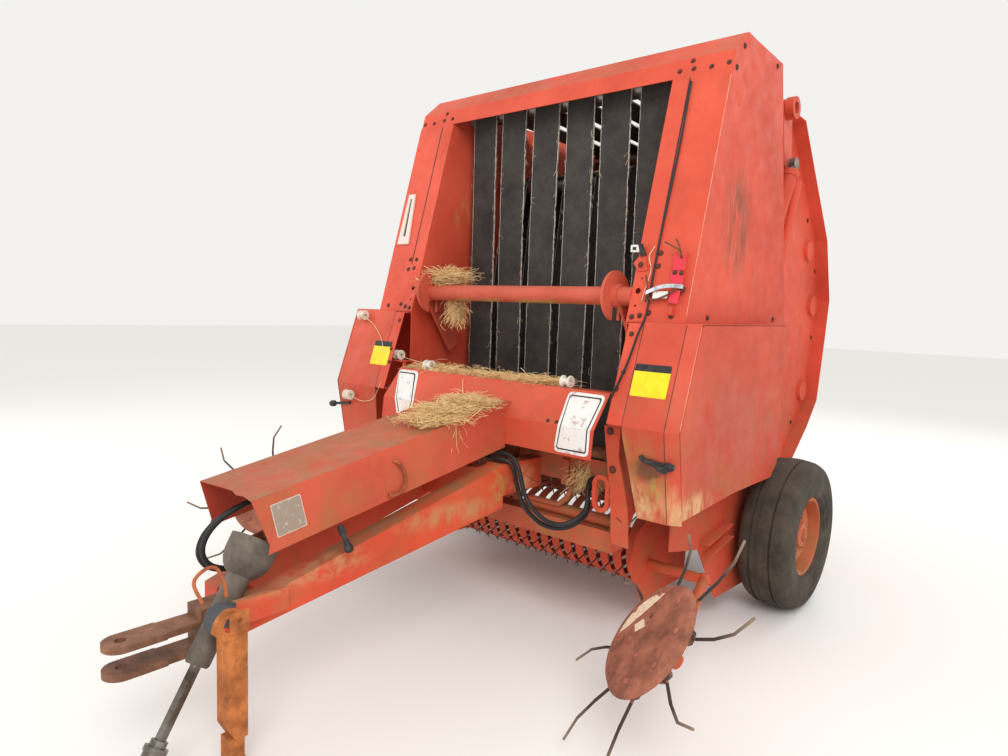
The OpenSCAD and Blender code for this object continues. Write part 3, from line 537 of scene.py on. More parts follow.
member_stains_sun_and_shade = [
    # Painted shade: a brown patch that darkens the cross member where it lies in shade
    (at(0.350, -1.020, 0.640), (0.450, 0.100, 0.120), rgb(128, 104, 74), 0.8, 7),
    # Painted sunlight: an orange band where the cross member stands in the sun
    (at(0.300, -1.160, 0.480), (0.500, 0.100, 0.080), rgb(196, 116, 70), 0.8, 9),
    (at(0.420, -1.130, 0.610), (0.180, 0.080, 0.050), rgb(190, 150, 74), 0.8, 10),
]
tube_stains = [(at(0.000, -0.944, 1.378), (0.700, 0.060, 0.034), OLIVE, 0.95, 5)]
body_red = paint("faded_red_paint", rgb(196, 70, 48), rgb(222, 90, 66), stains=body_stains)
lower_red = paint("lower_red_paint", rgb(186, 66, 46), rgb(214, 88, 64),
                  0.6, 0.7, 1.3, 0.7, lower_stains)
frame_red = paint("frame_red_paint", rgb(192, 64, 38), rgb(218, 84, 54),
                  0.85, 0.55, 1.0, 0.9, frame_stains)
cover_red = paint("cover_red_paint", rgb(174, 66, 46), rgb(206, 88, 64), 0.75, 0.6, 1.4, 0.8)
member_red = paint("member_red_paint", rgb(172, 72, 46), rgb(200, 98, 66),
                   0.9, 0.95, 2.2, 1.0, member_stains_sun_and_shade)
rim_orange = paint("rim_paint", rgb(178, 78, 48), rgb(208, 126, 88), 0.4, 0.9, 1.6, 1.0)
tube_red = paint("tube_red_paint", rgb(176, 72, 52), rgb(208, 96, 74),
                 0.3, 0.3, 1.0, 0.5, tube_stains)
print("paints made")


# %% [markdown]
# Bare and rusty metal, rubber and plastic. Rust is never one brown: orange dust lies over a dark
# crust. Rubber turns grey with dust and stays dark in the grooves.

# %% Other finishes
PITTED = (120, 6, 0.7, 0.35, 0.002)


def rusty(name, dark, light, roughness=0.8, stains=()):
    """Clouds from dark crust to orange dust, with fine pitting."""
    f = Finish(name, roughness)
    colour = f.mix(f.patches(12, 8, 0.7, 0.35, 0.65), dark, light)
    colour = f.mix(f.patches(70, 4, 0.6, 0.55, 0.75, 0.6), colour, dark)
    return f.made(colour, stains, PITTED)


def rubber(name, dark, dusty, amount, grain=90, roughness=0.85):
    """Dark rubber under an uneven film of dust."""
    f = Finish(name, roughness)
    dust = f.patches(7, 8, 0.7, 0.3, 0.7, amount)
    return f.made(f.mix(dust, dark, dusty), bump=(grain, 5, 0.6, 0.2, 0.001))


def plain(name, tone, shade, roughness=0.6, size=40, metallic=0.0):
    """A small piece's finish: one colour with clouds of a second one."""
    f = Finish(name, roughness, metallic)
    return f.made(f.mix(f.patches(size, 6, 0.65, 0.42, 0.68), tone, shade))


def scuffed(name, tone, worn, size, amount, roughness=0.5):
    """A printed plate with flakes and scratches worn through it."""
    f = Finish(name, roughness)
    return f.made(f.mix(f.patches(size, 8, 0.75, 0.56, 0.62, amount), tone, worn))


def worn_steel(name, bright, dull):
    """Steel rubbed bright by crop and straw, with dull stains."""
    f = Finish(name, 0.4, 0.85)
    stains = f.patches(18, 6, 0.65, 0.35, 0.65, stretch=(0.15, 1, 1))
    return f.made(f.mix(stains, bright, dull), bump=(160, 4, 0.6, 0.12, 0.001, (0.1, 1, 1)))


def glazed(name, white, cream):
    """Fired glaze with clouds of cream."""
    f = Finish(name, 0.25)
    return f.made(f.mix(f.patches(60, 3, 0.55, 0.4, 0.7), white, cream))


def wheel_rust(name, hubs, disc_r):
    """The gathering wheels: a pitted red-brown disc, and dark tines with pale tips beyond it."""
    f = Finish(name, 0.75)
    near, other = [
        f.node("ShaderNodeVectorMath", {0: f.place.outputs["Object"], 1: tuple(hub)},
               operation="DISTANCE").outputs["Value"] for hub in hubs]
    far = f.node("ShaderNodeMath", {0: near, 1: other}, operation="MINIMUM").outputs["Value"]
    disc = f.mix(f.patches(14, 8, 0.7, 0.36, 0.64), rgb(122, 74, 58), rgb(172, 106, 82))
    disc = f.mix(f.patches(55, 6, 0.7, 0.6, 0.68, 0.7), disc, rgb(96, 58, 48))
    tips = f.between(far, disc_r + 0.10, disc_r + 0.24)
    tine = f.mix(tips, rgb(62, 50, 44), rgb(150, 128, 110))
    return f.made(f.mix(f.between(far, disc_r, disc_r + 0.002), disc, tine), bump=PITTED)


SIDES = (("left", 1), ("right", -1))
GATHER_HUBS = {name: at(sign * 1.049, -1.511, 0.388) for name, sign in SIDES}
rust = rusty("rusty_steel", rgb(78, 50, 36), rgb(146, 92, 60))
hitch_brown = rusty("hitch_brown", rgb(96, 64, 48), rgb(148, 102, 76), 0.6)
jack_rust = rusty("rusty_orange", rgb(132, 74, 38), rgb(204, 122, 66), 0.85, [collar])
disc_rust = rusty("disc_rust", rgb(124, 70, 58), rgb(180, 108, 92), 0.85)
orange_rust = rusty("orange_rust", rgb(138, 74, 46), rgb(202, 112, 72))
guard_grey = rusty("grey_brown_guard", rgb(80, 72, 66), rgb(120, 108, 96), 0.6)
gather_rust = wheel_rust("gather_rust", GATHER_HUBS.values(), 0.197)
belt_black = rubber("belt_rubber", rgb(44, 41, 40), rgb(84, 78, 74), 0.7)
tyre_black = rubber("tyre_rubber", rgb(46, 42, 38), rgb(92, 82, 70), 0.9, 60)
hose_black = rubber("hose_rubber", rgb(30, 30, 31), rgb(62, 60, 58), 0.5, 200, 0.5)
steel = worn_steel("worn_steel", rgb(150, 146, 140), rgb(92, 82, 72))
ceramic = glazed("glazed_ceramic", rgb(232, 228, 216), rgb(206, 196, 176))
controls_red = paint("controls_red", rgb(196, 70, 50), rgb(220, 90, 66), 0.3, 0.2, 0.9, 0.6, [
    (at(-0.800, -0.860, 1.820), (0.150, 0.200, 0.300), rgb(222, 208, 198), 1.0, 0),
    (at(0.860, -1.135, 0.830), (0.090, 0.030, 0.030), rgb(46, 44, 44), 1.0, 0),
    (at(-1.000, -1.135, 0.833), (0.100, 0.030, 0.040), rgb(46, 44, 44), 1.0, 0),
])
belt_edge = plain("frayed_belt_edge", rgb(196, 190, 180), rgb(96, 90, 84), 0.9, 70)
straw_pale = plain("straw_pale", rgb(232, 214, 174), rgb(196, 168, 122), 0.8, 60)
straw_gold = plain("straw_gold", rgb(240, 212, 158), rgb(206, 160, 104), 0.85, 46)
sticker_black = plain("faded_black", rgb(38, 38, 42), rgb(66, 62, 62), 0.6, 50)
label_yellow = plain("label_yellow", rgb(246, 218, 34), rgb(228, 196, 30), 0.5, 20)
bolt_brown = plain("bolt_brown", rgb(104, 58, 44), rgb(70, 44, 36), 0.75, 90)
rust_red = plain("nut_red", rgb(186, 92, 62), rgb(140, 84, 52), 0.7, 50)
knob_black = plain("knob_black", rgb(42, 40, 42), rgb(74, 72, 72), 0.6, 50)
bright_steel = plain("bright_steel", rgb(206, 212, 218), rgb(150, 154, 160), 0.35, 40, 0.5)
bracket_pink = plain("bracket_pink", rgb(222, 54, 72), rgb(204, 60, 66), 0.5)
coil_steel = plain("coil_steel", rgb(104, 84, 76), rgb(74, 60, 56), 0.6, 60, 0.3)
fold_pale = plain("fold_pale", rgb(236, 156, 128), rgb(206, 110, 84), 0.6, 50)
sticker_white = scuffed("scuffed_white", rgb(228, 226, 222), rgb(176, 140, 136), 26, 0.8)
sticker_pale = scuffed("plate_rim", rgb(206, 190, 172), rgb(190, 110, 90), 40, 0.8)
sticker_grey = scuffed("grey_plate", rgb(156, 138, 124), rgb(196, 184, 170), 60, 0.7, 0.7)
peeled_cream = scuffed("peeled_cream", rgb(230, 206, 178), rgb(196, 116, 78), 90, 0.9, 0.7)
print("small finishes made")


# %% Finishes for the CAD's nodes
NODE_FINISH = {
    body_red: ("side_wall", "side_box", "top_fascia", "gate_side", "gate_frame",
               "cylinder_barrel", "front_panel"),
    lower_red: ("lower_panel", "side_shield"),
    cover_red: ("driveline_cover",),
    frame_red: ("tongue", "pickup_frame"),
    rim_orange: ("rim",),
    member_red: ("cross_members",),
    tube_red: ("tension_arm",),
    hitch_brown: ("hitch_clevis",),
    gather_rust: ("gather_wheel",),
    rust: ("gearbox", "axle", "inner_driveshaft"),
    jack_rust: ("jack_leg",),
    guard_grey: ("pto_guard",),
    steel: ("frame_rollers", "gate_rollers", "pto_shaft", "pickup_reel", "cylinder_rod"),
    belt_black: ("belts",),
    tyre_black: ("tyre",),
    hose_black: ("hose",),
    controls_red: ("front_controls",),
    ceramic: ("twine_guides",),
}
for finish, starts in NODE_FINISH.items():
    for name, thing in nodes.items():
        if name.startswith(starts):
            for slot in thing.material_slots:
                slot.material = finish
print("finishes on", len(nodes), "nodes")

# %% [markdown]
# The belts are six loops of rubber over nine rollers. Between two rollers a belt runs along
# their common tangent: the straight from a to b, turned by asin((qb - qa) / |ab|), where q is
# the roller's radius, negative where the belt bends the other way.

# %% Belts
ROLLERS = [
    (-0.584, 0.780, 1), (-0.584, 2.335, 1), (0.480, 2.290, 1), (0.965, 1.750, 1),
    (1.095, 1.430, 1), (1.020, 0.920, 1), (0.680, 0.605, 1), (-0.050, 0.560, 1),
    (-0.330, 2.010, -1),
]
BELT_RUN_R = 0.0483
BELTS, BELT_W, BELT_T, BELT_PITCH = 6, 0.150, 0.006, 0.196
LOOP_STEPS, ARC_STEPS = 340, 9
SWAY, FRAY = 0.004, 0.0007


def run_angle(a, b):
    """Heading of the belt from roller a to roller b."""
    step = np.subtract(b[:2], a[:2])
    turn = math.asin(BELT_RUN_R * (b[2] - a[2]) / np.linalg.norm(step))
    return math.atan2(step[1], step[0]) + turn


def belt_loop():
    """The belt's middle line as (y, z) rows, once round, evenly spaced."""
    line, full = [], 2 * math.pi
    for i, here in enumerate(ROLLERS):
        arrive = run_angle(ROLLERS[i - 1], here)
        leave = run_angle(here, ROLLERS[(i + 1) % len(ROLLERS)])
        turn = (leave - arrive) % full if here[2] < 0 else -((arrive - leave) % full)
        for k in np.linspace(0, 1, ARC_STEPS):
            angle = arrive + turn * k + math.pi / 2
            rim = np.array([math.cos(angle), math.sin(angle)])
            line.append(np.array(here[:2]) + here[2] * BELT_RUN_R * rim)
    line = np.array(line + line[:1])
    along = np.concatenate([[0], np.cumsum(np.linalg.norm(np.diff(line, axis=0), axis=1))])
    even = np.linspace(0, along[-1], LOOP_STEPS, endpoint=False)
    return np.stack([np.interp(even, along, line[:, i]) for i in range(2)], 1)


loop = belt_loop()
tangent = np.roll(loop, -1, axis=0) - np.roll(loop, 1, axis=0)
tangent /= np.linalg.norm(tangent, axis=1)[:, None]
loop_out = np.stack([-tangent[:, 1], tangent[:, 0]], 1)


def belt_ring(centre, section, fray=0.0):
    """A section, in shares of the belt's width and thickness, swept along the loop."""
    section = np.array(section)
    ring = np.zeros((len(loop), len(section), 3))
    ring[:, :, 0] = centre[:, None] + section[:, 0] * BELT_W + fray
    depth = section[:, 1] * BELT_T
    ring[:, :, 1] = loop[:, :1] + loop_out[:, :1] * depth + AXLE_Y
    ring[:, :, 2] = loop[:, 1:] + loop_out[:, 1:] * depth
    return ring.reshape(-1, 3), [grid_faces(len(loop), len(section), True, True)]


belt_section = [(-0.5, -0.4), (-0.5, 0.4), (-0.47, 0.5), (0.47, 0.5),
                (0.5, 0.4), (0.5, -0.4), (0.47, -0.5), (-0.47, -0.5)]
edge_section = np.array([(0.505, -0.52), (0.505, 0.52), (0.486, 0.52), (0.486, -0.52)])
belts, edges = [], []
for belt in range(BELTS):
    wave = SWAY * np.sin(np.linspace(0, 2 * math.pi * 3, len(loop)) + belt * 1.7)
    centre = (belt - 2.5) * BELT_PITCH + wave
    belts.append(belt_ring(centre, belt_section))
    for edge in (-1, 1):
        fray = rng.normal(0, FRAY, (len(loop), 1))
        edges.append(belt_ring(centre, edge_section * (edge, 1), fray))
belts_piece = piece("belts_dressed", stack(belts), None, belt_black)
edges_piece = piece("belt_edges", stack(edges), None, belt_edge)
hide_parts("belts")

# Threads torn out of the edges on the side that shows
THREADS = 260
BELT_FRONT_Y = -0.640
start = np.stack([
    (rng.integers(0, BELTS, THREADS) - 2.5) * BELT_PITCH
    + rng.choice([-1, 1], THREADS, p=[0.3, 0.7]) * BELT_W / 2,
    np.full(THREADS, BELT_FRONT_Y) + AXLE_Y,
    rng.uniform(0.85, 2.2, THREADS),
], 1)
hang = ((0.5, 0.5), (-0.25, 0.15), (-1, 0.6))
along = np.stack([rng.normal(mean, spread, THREADS) for mean, spread in hang], 1)
threads = strands(start, along, rng.uniform(0.008, 0.04, THREADS), np.full(THREADS, 0.0006),
                  rng.normal(0, 0.004, (THREADS, 3)))
piece("belt_threads", threads, "frame", straw_pale)
for thing in (belts_piece, edges_piece):
    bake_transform(thing)

# %% [markdown]
# An implement tyre has a broad ribbed crown and two grooves that run right round. Its profile is
# one list of (radius, height along the axle) turned round the axle; the rim's nuts and the hub
# cap's lip are turned the same way.

# %% Tyres and wheels
TYRE_R, TYRE_STEPS, NUT_CIRCLE = 0.350, 120, 0.086
WALL = [
    (0.1835, -0.090), (0.196, -0.1065), (0.222, -0.1095), (0.225, -0.1125), (0.262, -0.1140),
    (0.280, -0.1150), (0.3005, -0.1135), (0.318, -0.1075), (0.326, -0.1020), (0.3352, -0.088),
]
# Depth below the crown, place along the axle: shoulders, two grooves and the middle rib
TREAD = [
    (0.0085, -0.074), (0.006, -0.060), (0.016, -0.057), (0.016, -0.046), (0.004, -0.043),
    (0.001, -0.020), (0.0035, -0.0185), (0.0035, -0.0170), (0.0005, -0.0155), (0, 0.0),
    (0.001, 0.020), (0.003, 0.036), (0.013, 0.038), (0.013, 0.043), (0.004, 0.045),
    (0.0085, 0.074),
]
tyre_profile = WALL + [(TYRE_R - d, y) for d, y in TREAD] + [(r, -y) for r, y in WALL[::-1]]
for side_name, sign in SIDES:
    axis, body = (sign, 0, 0), side_name + "_wheel"
    centre = at(sign * 0.950, 0, TYRE_R)
    tyre = piece("tyre_" + side_name + "_dressed", revolved(tyre_profile, centre, axis, TYRE_STEPS),
                 body, tyre_black, smooth=True)
    tyre.modifiers.new("creases", "EDGE_SPLIT").split_angle = math.radians(38)
    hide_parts("tyre_" + side_name)
    nuts = []
    for k in range(6):
        angle = math.radians(60 * k + 10)
        spot = [sign * 0.047, NUT_CIRCLE * math.cos(angle), NUT_CIRCLE * math.sin(angle)]
        nuts.append(hex_head(centre + spot, axis, 0.0115, 0.014))
    cap = [(0, 0.088), (0.016, 0.087), (0.030, 0.080), (0.0315, 0.075)]
    nuts.append(revolved(cap, centre, axis, 32))
    piece("wheel_nuts_" + side_name, stack(nuts), body, rust_red)

# %% [markdown]
# Stickers, plates and labels carry no lettering: each stays as the blank plate with its stripe
# or outline. A plate that goes over a fold is two pieces, one on each sheet.

# %% Stickers
def folded_plate(name, top, fold, bottom):
    """A white plate over the centre panel's fold with a dark outline inside its edge.
    Each of top, fold and bottom is (x left, x right, z)."""
    shapes = {"white": [], "outline": []}
    for inset, out, tone in ((0, 1, "white"), (0.011, 2, "outline"), (0.0165, 3, "white")):
        r = max(0.022 - inset, 0.008)
        high_z, low_z = top[2] - inset, bottom[2] + inset
        crease = [(fold[1] - inset, fold[2]), (fold[0] + inset, fold[2])]
        high = [(top[0] + inset, high_z), (top[1] - inset, high_z)] + crease
        low = crease[::-1] + [(bottom[1] - inset, low_z), (bottom[0] + inset, low_z)]
        shapes[tone].append(sticker(panel_high, high, (r, r, 0, 0), out * FOIL))
        shapes[tone].append(sticker(panel_low, low, (0, 0, r, r), out * FOIL))
    for tone, finish in (("white", sticker_white), ("outline", sticker_black)):
        piece(f"{name}_{tone}", stack(shapes[tone]), "frame", finish)


folded_plate("left_plate", (0.422, 0.597, 1.040), (0.443, 0.594, 0.914), (0.434, 0.596, 0.815))
folded_plate("right_plate", (-0.612, -0.470, 1.042), (-0.525, -0.392, 0.914),
             (-0.500, -0.410, 0.832))

LABEL_OUT, LABEL_CORNER, STRIP_H = 0.0006, 0.007, 0.026
yellow, dark = [], []
for left, right, high, low in ((0.715, 0.862, 1.174, 1.058), (-0.802, -0.671, 1.172, 1.055)):
    for shapes, top, bottom, radii in ((yellow, high - STRIP_H, low, (0, 0, 1, 1)),
                                       (dark, high, high - STRIP_H, (1, 1, 0, 0))):
        radii = [r * LABEL_CORNER for r in radii]
        shapes.append(strip(upper, left, right, top, bottom, LABEL_OUT, radii))
piece("yellow_labels", stack(yellow), "frame", label_yellow)
piece("label_strips", stack(dark), "frame", sticker_black)

# %% [markdown]
# The driveline's cover slopes, and its sides lean out. A grey plate with a pale rim sits on its
# left side. Its sheet ends in a ragged lip: the top reaches as far forward as the lower corners.

# %% Cover
COVER_SLOPE = math.atan2(0.963 - 0.765, 2.300 - 1.190)
COVER_FRONT_Y, COVER_TOP_Z, COVER_HALF = -2.300, 0.765, 0.160
SHEET, LIP = 0.003, 0.088
cover_along = np.array([0, math.cos(COVER_SLOPE), math.sin(COVER_SLOPE)])
cover_up = np.array([0, -math.sin(COVER_SLOPE), math.cos(COVER_SLOPE)])
side_down = np.array([0.025, 0, 0]) - cover_up * 0.170
side_down /= np.linalg.norm(side_down)
side_out = np.cross(side_down, cover_along)


def on_cover_side(along, down, out=0.0):
    """A point on the cover's left side, along from its front edge and down from its top edge."""
    corner = at(COVER_HALF, COVER_FRONT_Y, COVER_TOP_Z)
    return corner + cover_along * along + side_down * down + side_out * out


def cover_sticker(a0, a1, d0, d1, out):
    """A thin plate on the cover's left side between two places along it and two down it."""
    outline = rounded([(a0, -d0), (a1, -d0), (a1, -d1), (a0, -d1)], (0.006,) * 4)
    return plate_shape(outline[::-1], FOIL, on_cover_side(0, 0, out), cover_along, -side_down)


piece("cover_plate_rim", cover_sticker(0.052, 0.158, 0.030, 0.134, SHEET + 0.0006), "frame",
      sticker_pale)
piece("cover_plate", cover_sticker(0.055, 0.155, 0.033, 0.131, SHEET + 0.0011), "frame",
      sticker_grey)

lip_side = [(0, 0), (0.0228, -0.146), (LIP, 0)]
lip_edge = [(-0.162, 0.001), (-0.110, 0.006), (-0.050, 0.012), (0.020, 0.016), (0.060, 0.004),
            (0.100, 0.010), (0.162, 0), (0.162, LIP), (-0.162, LIP)]
lip = [
    plate_shape(lip_side, SHEET, on_cover_side(0, 0), cover_along, -side_down),
    plate_shape(lip_side[::-1], -SHEET, at(-COVER_HALF, COVER_FRONT_Y, COVER_TOP_Z),
                cover_along, -side_down * (-1, 1, 1)),
    plate_shape(lip_edge, SHEET, at(0, COVER_FRONT_Y, COVER_TOP_Z), (1, 0, 0), cover_along),
]
piece("cover_lip", stack(lip), "frame", cover_red)

# %% [markdown]
# Bolts hold the sheets where the photo shows them: down the posts, along the fascia's ends, on
# the straps and round the covers. One mesh per body keeps hundreds of them light.

# %% Bolts
# Places across and up each face, given for the left side, with the heads' radius
BOTH_SIDES = [
    (upper, 0.007, [(0.666, 1.280), (0.669, 1.138), (0.655, 1.075)]),
    (fascia, 0.007, [(0.845, 2.315), (0.775, 2.312), (0.700, 2.318), (0.690, 2.352),
                     (0.640, 2.318)]),
]
POST_BOLTS = [(0.639, 1.344), (0.672, 1.350), (0.709, 1.361), (0.804, 1.352), (0.712, 1.588),
              (0.712, 1.538)]
RIGHT_POST_BOLTS = [(0.666, 1.587), (0.672, 1.544)]
BOX_BOLTS = [(-0.700, 2.300), (-0.640, 2.395), (-0.300, 2.410), (-0.820, 1.350), (-0.150, 1.350)]
GATE_BOLTS = [(0.200, 2.290), (0.240, 1.900), (0.930, 1.920), (1.125, 1.640), (1.150, 1.240),
              (1.070, 0.890), (0.900, 0.740), (0.420, 0.560), (0.110, 1.350), (0.110, 0.900)]


def side_heads(sign, x, places, radius):
    """Hexagon heads on an upright sheet at (y, z) places, facing out to one side."""
    return [hex_head(at(sign * x, y, z), (sign, 0, 0), radius) for y, z in places]


STRAP_BOLTS = [(0.636, 0.912), (0.654, 0.767), (-0.660, 0.915), (-0.648, 0.760)]
bolts = heads_on(strap_face, STRAP_BOLTS, 0.0105, 0.0, 0.010)
gate_bolts = []
for sign in (-1, 1):
    post_bolts = POST_BOLTS + (RIGHT_POST_BOLTS if sign < 0 else [])
    for face, radius, places in [(post, 0.0075, post_bolts)] + BOTH_SIDES:
        bolts += heads_on(face, [(sign * x, z) for x, z in places], radius)
    bolts += side_heads(sign, 0.8642, BOX_BOLTS, 0.008)
    gate_bolts += side_heads(sign, 0.6235, GATE_BOLTS, 0.009)
bolts += heads_on(panel_high, [(0.388, 0.926), (0.430, 0.926)], 0.006)
piece("frame_bolts", stack(bolts), "frame", bolt_brown)
piece("gate_bolts", stack(gate_bolts), "tailgate", bolt_brown)

# %% [markdown]
# Dark lines where one sheet laps another, pale lines along the folds of the left side, and the
# black cable that runs down the left post.

# %% Seams and cable
SEAM_HALF = 0.0012
seams = []
for sign in (-1, 1):
    for face, near, far, high, low, out in ((post, 0.6925, 0.6985, 2.280, 1.565, 0.0002),
                                            (upper, 0.7085, 0.7125, 1.318, 0.952, -0.0008)):
        seams.append(strip(face, *sorted((sign * near, sign * far)), high, low, out))
for x in (0.8838, -1.0168):
    for face, high, low in ((upper, 1.322, 0.948), (lower, 0.944, 0.603)):
        seams.append(strip(face, x - SEAM_HALF, x + SEAM_HALF, high, low, 0.0003))
piece("sheet_seams", stack(seams), "frame", sticker_black)

# Pale lines laid along two folds of the left side
folds = [post.row((0.8645, 2.262, 0.0004), (0.8645, 1.352, 0.0004)),
         [p + [0, 0.028, 0] for p in upper.row((0.929, 1.318, 0.0004), (0.929, 0.955, 0.0004))]]
piece("pale_fold_lines", stack([tube(smooth_path(f, 0.05)[0], 0.0014, 6) for f in folds]),
      "frame", fold_pale)

cable = post.row(
    (0.704, 2.262, 0.004),
    *[(0.704 + 0.004 * math.sin(7 * z), z, 0.005) for z in np.linspace(2.15, 1.50, 8)],
    (0.704, 1.42, 0.008), (0.706, 1.345, 0.012))
cable += upper.row((0.700, 1.280, 0.010), (0.682, 1.180, 0.006), (0.662, 1.100, 0.006),
                   (0.646, 1.050, 0.004), (0.628, 1.020, -0.030))
piece("black_cable", tube(smooth_path(cable)[0], 0.0042, 8), "frame", hose_black,
      smooth=True)

# %% [markdown]
# Small controls keep their own colours: a bright bracket on the left post, a black strip in the
# indicator's slot, black latch knobs, a rusty hook and ring, black rubber straps.

# %% Controls and fittings
NO_CURVE = (0, 0, 0, 0)
slot = [(-0.812, 1.915), (-0.786, 1.913), (-0.783, 1.700), (-0.813, 1.704)]
piece("indicator_slot", sticker(post, slot, NO_CURVE, 0.0006), "frame", sticker_black)
knobs = [revolved(profile, place, axis, 24) for profile, place, axis in (
    ([(0, 0.028), (0.011, 0.026), (0.0165, 0.014), (0.0165, -0.006), (0.010, -0.016),
      (0, -0.018)], at(-1.066, -1.1385, 0.823), (-0.99, 0, -0.14)),
    ([(0, 0.020), (0.012, 0.018), (0.0145, 0.004), (0.012, -0.014), (0, -0.016)],
     at(0.905, -1.1385, 0.827), (0.99, 0, -0.08)))]
piece("latch_knobs", stack(knobs), "frame", knob_black, smooth=True)

# Bright bracket in three lengths with its bolts, a bowed strap over it and a white tag behind it
bracket = [sticker(post, corners, (0.004,) * 4, 0.0160, 0.002) for corners in (
    [(0.775, 1.574), (0.829, 1.572), (0.833, 1.516), (0.786, 1.518)],
    [(0.780, 1.516), (0.832, 1.514), (0.836, 1.458), (0.786, 1.458)],
    [(0.792, 1.442), (0.832, 1.442), (0.828, 1.392), (0.790, 1.398)])]
piece("bright_bracket", stack(bracket), "frame", bracket_pink, bevel=0.0005)
heads = heads_on(post, [(0.796, 1.508), (0.823, 1.506)], 0.0065, 0.018)
heads += heads_on(post, [(0.643, 1.541), (0.838, 1.447)], 0.0075, 0.014)
piece("bracket_bolts", stack(heads), "frame", bolt_brown)

STRAP_STEPS, STRAP_HALF, STRAP_T, STRAP_BOW = 15, 0.0075, 0.003, 0.010
half, thick = STRAP_HALF * post.up, STRAP_T * post.out
strap = []
for t in np.linspace(0, 1, STRAP_STEPS):
    bow = STRAP_BOW * math.sin(math.pi * t)
    p = post.place(0.694 + 0.148 * t, 1.430 + 0.024 * t + bow, 0.021 + bow)
    strap += [p - half, p + half, p + half + thick, p - half + thick]
strap_faces = [grid_faces(STRAP_STEPS, 4, wrap_columns=True), np.array([[3, 2, 1, 0]]),
               np.arange(4)[None] + 4 * (STRAP_STEPS - 1)]
piece("lever_strap", (np.array(strap), strap_faces), "frame", bright_steel)
tag = [(0.724, 1.436), (0.784, 1.438), (0.784, 1.412), (0.724, 1.410)]
piece("white_tag", sticker(post, tag, (0.002,) * 4, 0.018, 0.003), "frame", sticker_white)
rods = [
    post.row((0.812, 1.560, 0.018), (0.808, 1.584, 0.030), (0.786, 1.596, 0.038),
             (0.744, 1.616, 0.040)),
    post.row((0.808, 1.584, 0.030), (0.802, 1.604, 0.036), (0.788, 1.626, 0.040)),
    post.row((0.690, 1.420, 0.006), (0.730, 1.404, 0.022), (0.780, 1.420, 0.026),
             (0.818, 1.446, 0.020)),
    post.row((0.672, 1.500, 0.010), (0.690, 1.462, 0.016), (0.694, 1.400, 0.014)),
]
piece("lever_rods", stack([tube(smooth_path(rod)[0], 0.0035, 8) for rod in rods]), "frame",
      rust, smooth=True)

# White plug on the post, with a dark hole and the socket's sleeve
plug_low, plug_high = post.row((0.590, 1.592, 0.004), (0.628, 1.592, 0.004))
plug = block_shape(plug_low + [0, -0.016, 0], plug_high + [0, 0.016, 0.028])
piece("white_plug", plug, "frame", sticker_white, bevel=0.002)
socket = [
    block_shape(plug_low + [0.010, -0.0172, 0.008], plug_low + [0.026, -0.0158, 0.020]),
    revolved([(0, 0.034), (0.009, 0.032), (0.010, 0.0), (0.013, -0.012), (0, -0.013)],
             post.place(0.640, 1.590, 0.012), (-0.2, -0.3, 1.0), 12),
]
piece("plug_socket", stack(socket), "frame", knob_black)

# Hook on the cover's side, ring at the drawbar's front, rubber toggle under the cover's edge
hook = [on_cover_side(*p) for p in (
    (0.536, 0.048, 0.002), (0.545, 0.055, 0.013), (0.562, 0.090, 0.016), (0.560, 0.130, 0.015),
    (0.530, 0.158, 0.014), (0.492, 0.160, 0.012), (0.482, 0.150, 0.010))]
ring = [at(*p) for p in (
    (0.165, -2.452, 0.500), (0.150, -2.470, 0.560), (0.148, -2.440, 0.590),
    (0.150, -2.405, 0.588), (0.160, -2.385, 0.540), (0.172, -2.385, 0.500))]
bent = [tube(smooth_path(p, 0.006)[0], r, 10) for p, r in ((hook, 0.006), (ring, 0.0055))]
piece("hook_and_ring", stack(bent), "frame", orange_rust, smooth=True)
toggle = [(0, 0.0), (0.011, 0.002), (0.013, 0.022), (0.008, 0.045), (0.010, 0.066),
          (0.015, 0.078), (0.014, 0.094), (0, 0.100)]
piece("rubber_strap", revolved(toggle, on_cover_side(0.262, 0.176, 0.016), (0.20, 0.28, -0.94), 20),
      "frame", knob_black, smooth=True)

# Black rubber latch on the left lower panel, thickest at its knuckle
latch = smooth_path(lower.row(
    (0.790, 0.846, 0.004), (0.802, 0.838, 0.012), (0.830, 0.832, 0.014),
    (0.856, 0.824, 0.014), (0.884, 0.816, 0.018), (0.912, 0.822, 0.010)))[0]
knuckle = np.exp(-((np.linspace(0, 1, len(latch)) - 0.78) / 0.12) ** 2)
piece("rubber_latch", tube(latch, 0.0085 + 0.0065 * knuckle, 12), "frame", knob_black,
      smooth=True)

# %% [markdown]
# The gathering wheel's disc carries round bolt heads, two worn-through patches and, behind its
# rim, a coil spring at the foot of each tine. A coil is a circle that climbs: p = c + r (cos t,
# sin t) + pitch t / (2 pi) along its axis.

# %% Gathering wheels
TURN, RISE = math.radians(45), math.radians(38)
TINES = [45 * k - 7 for k in range(8)]
COIL_TURNS, COIL_STEPS, COIL_R, COIL_LENGTH = 4.5, 110, 0.0178, 0.038
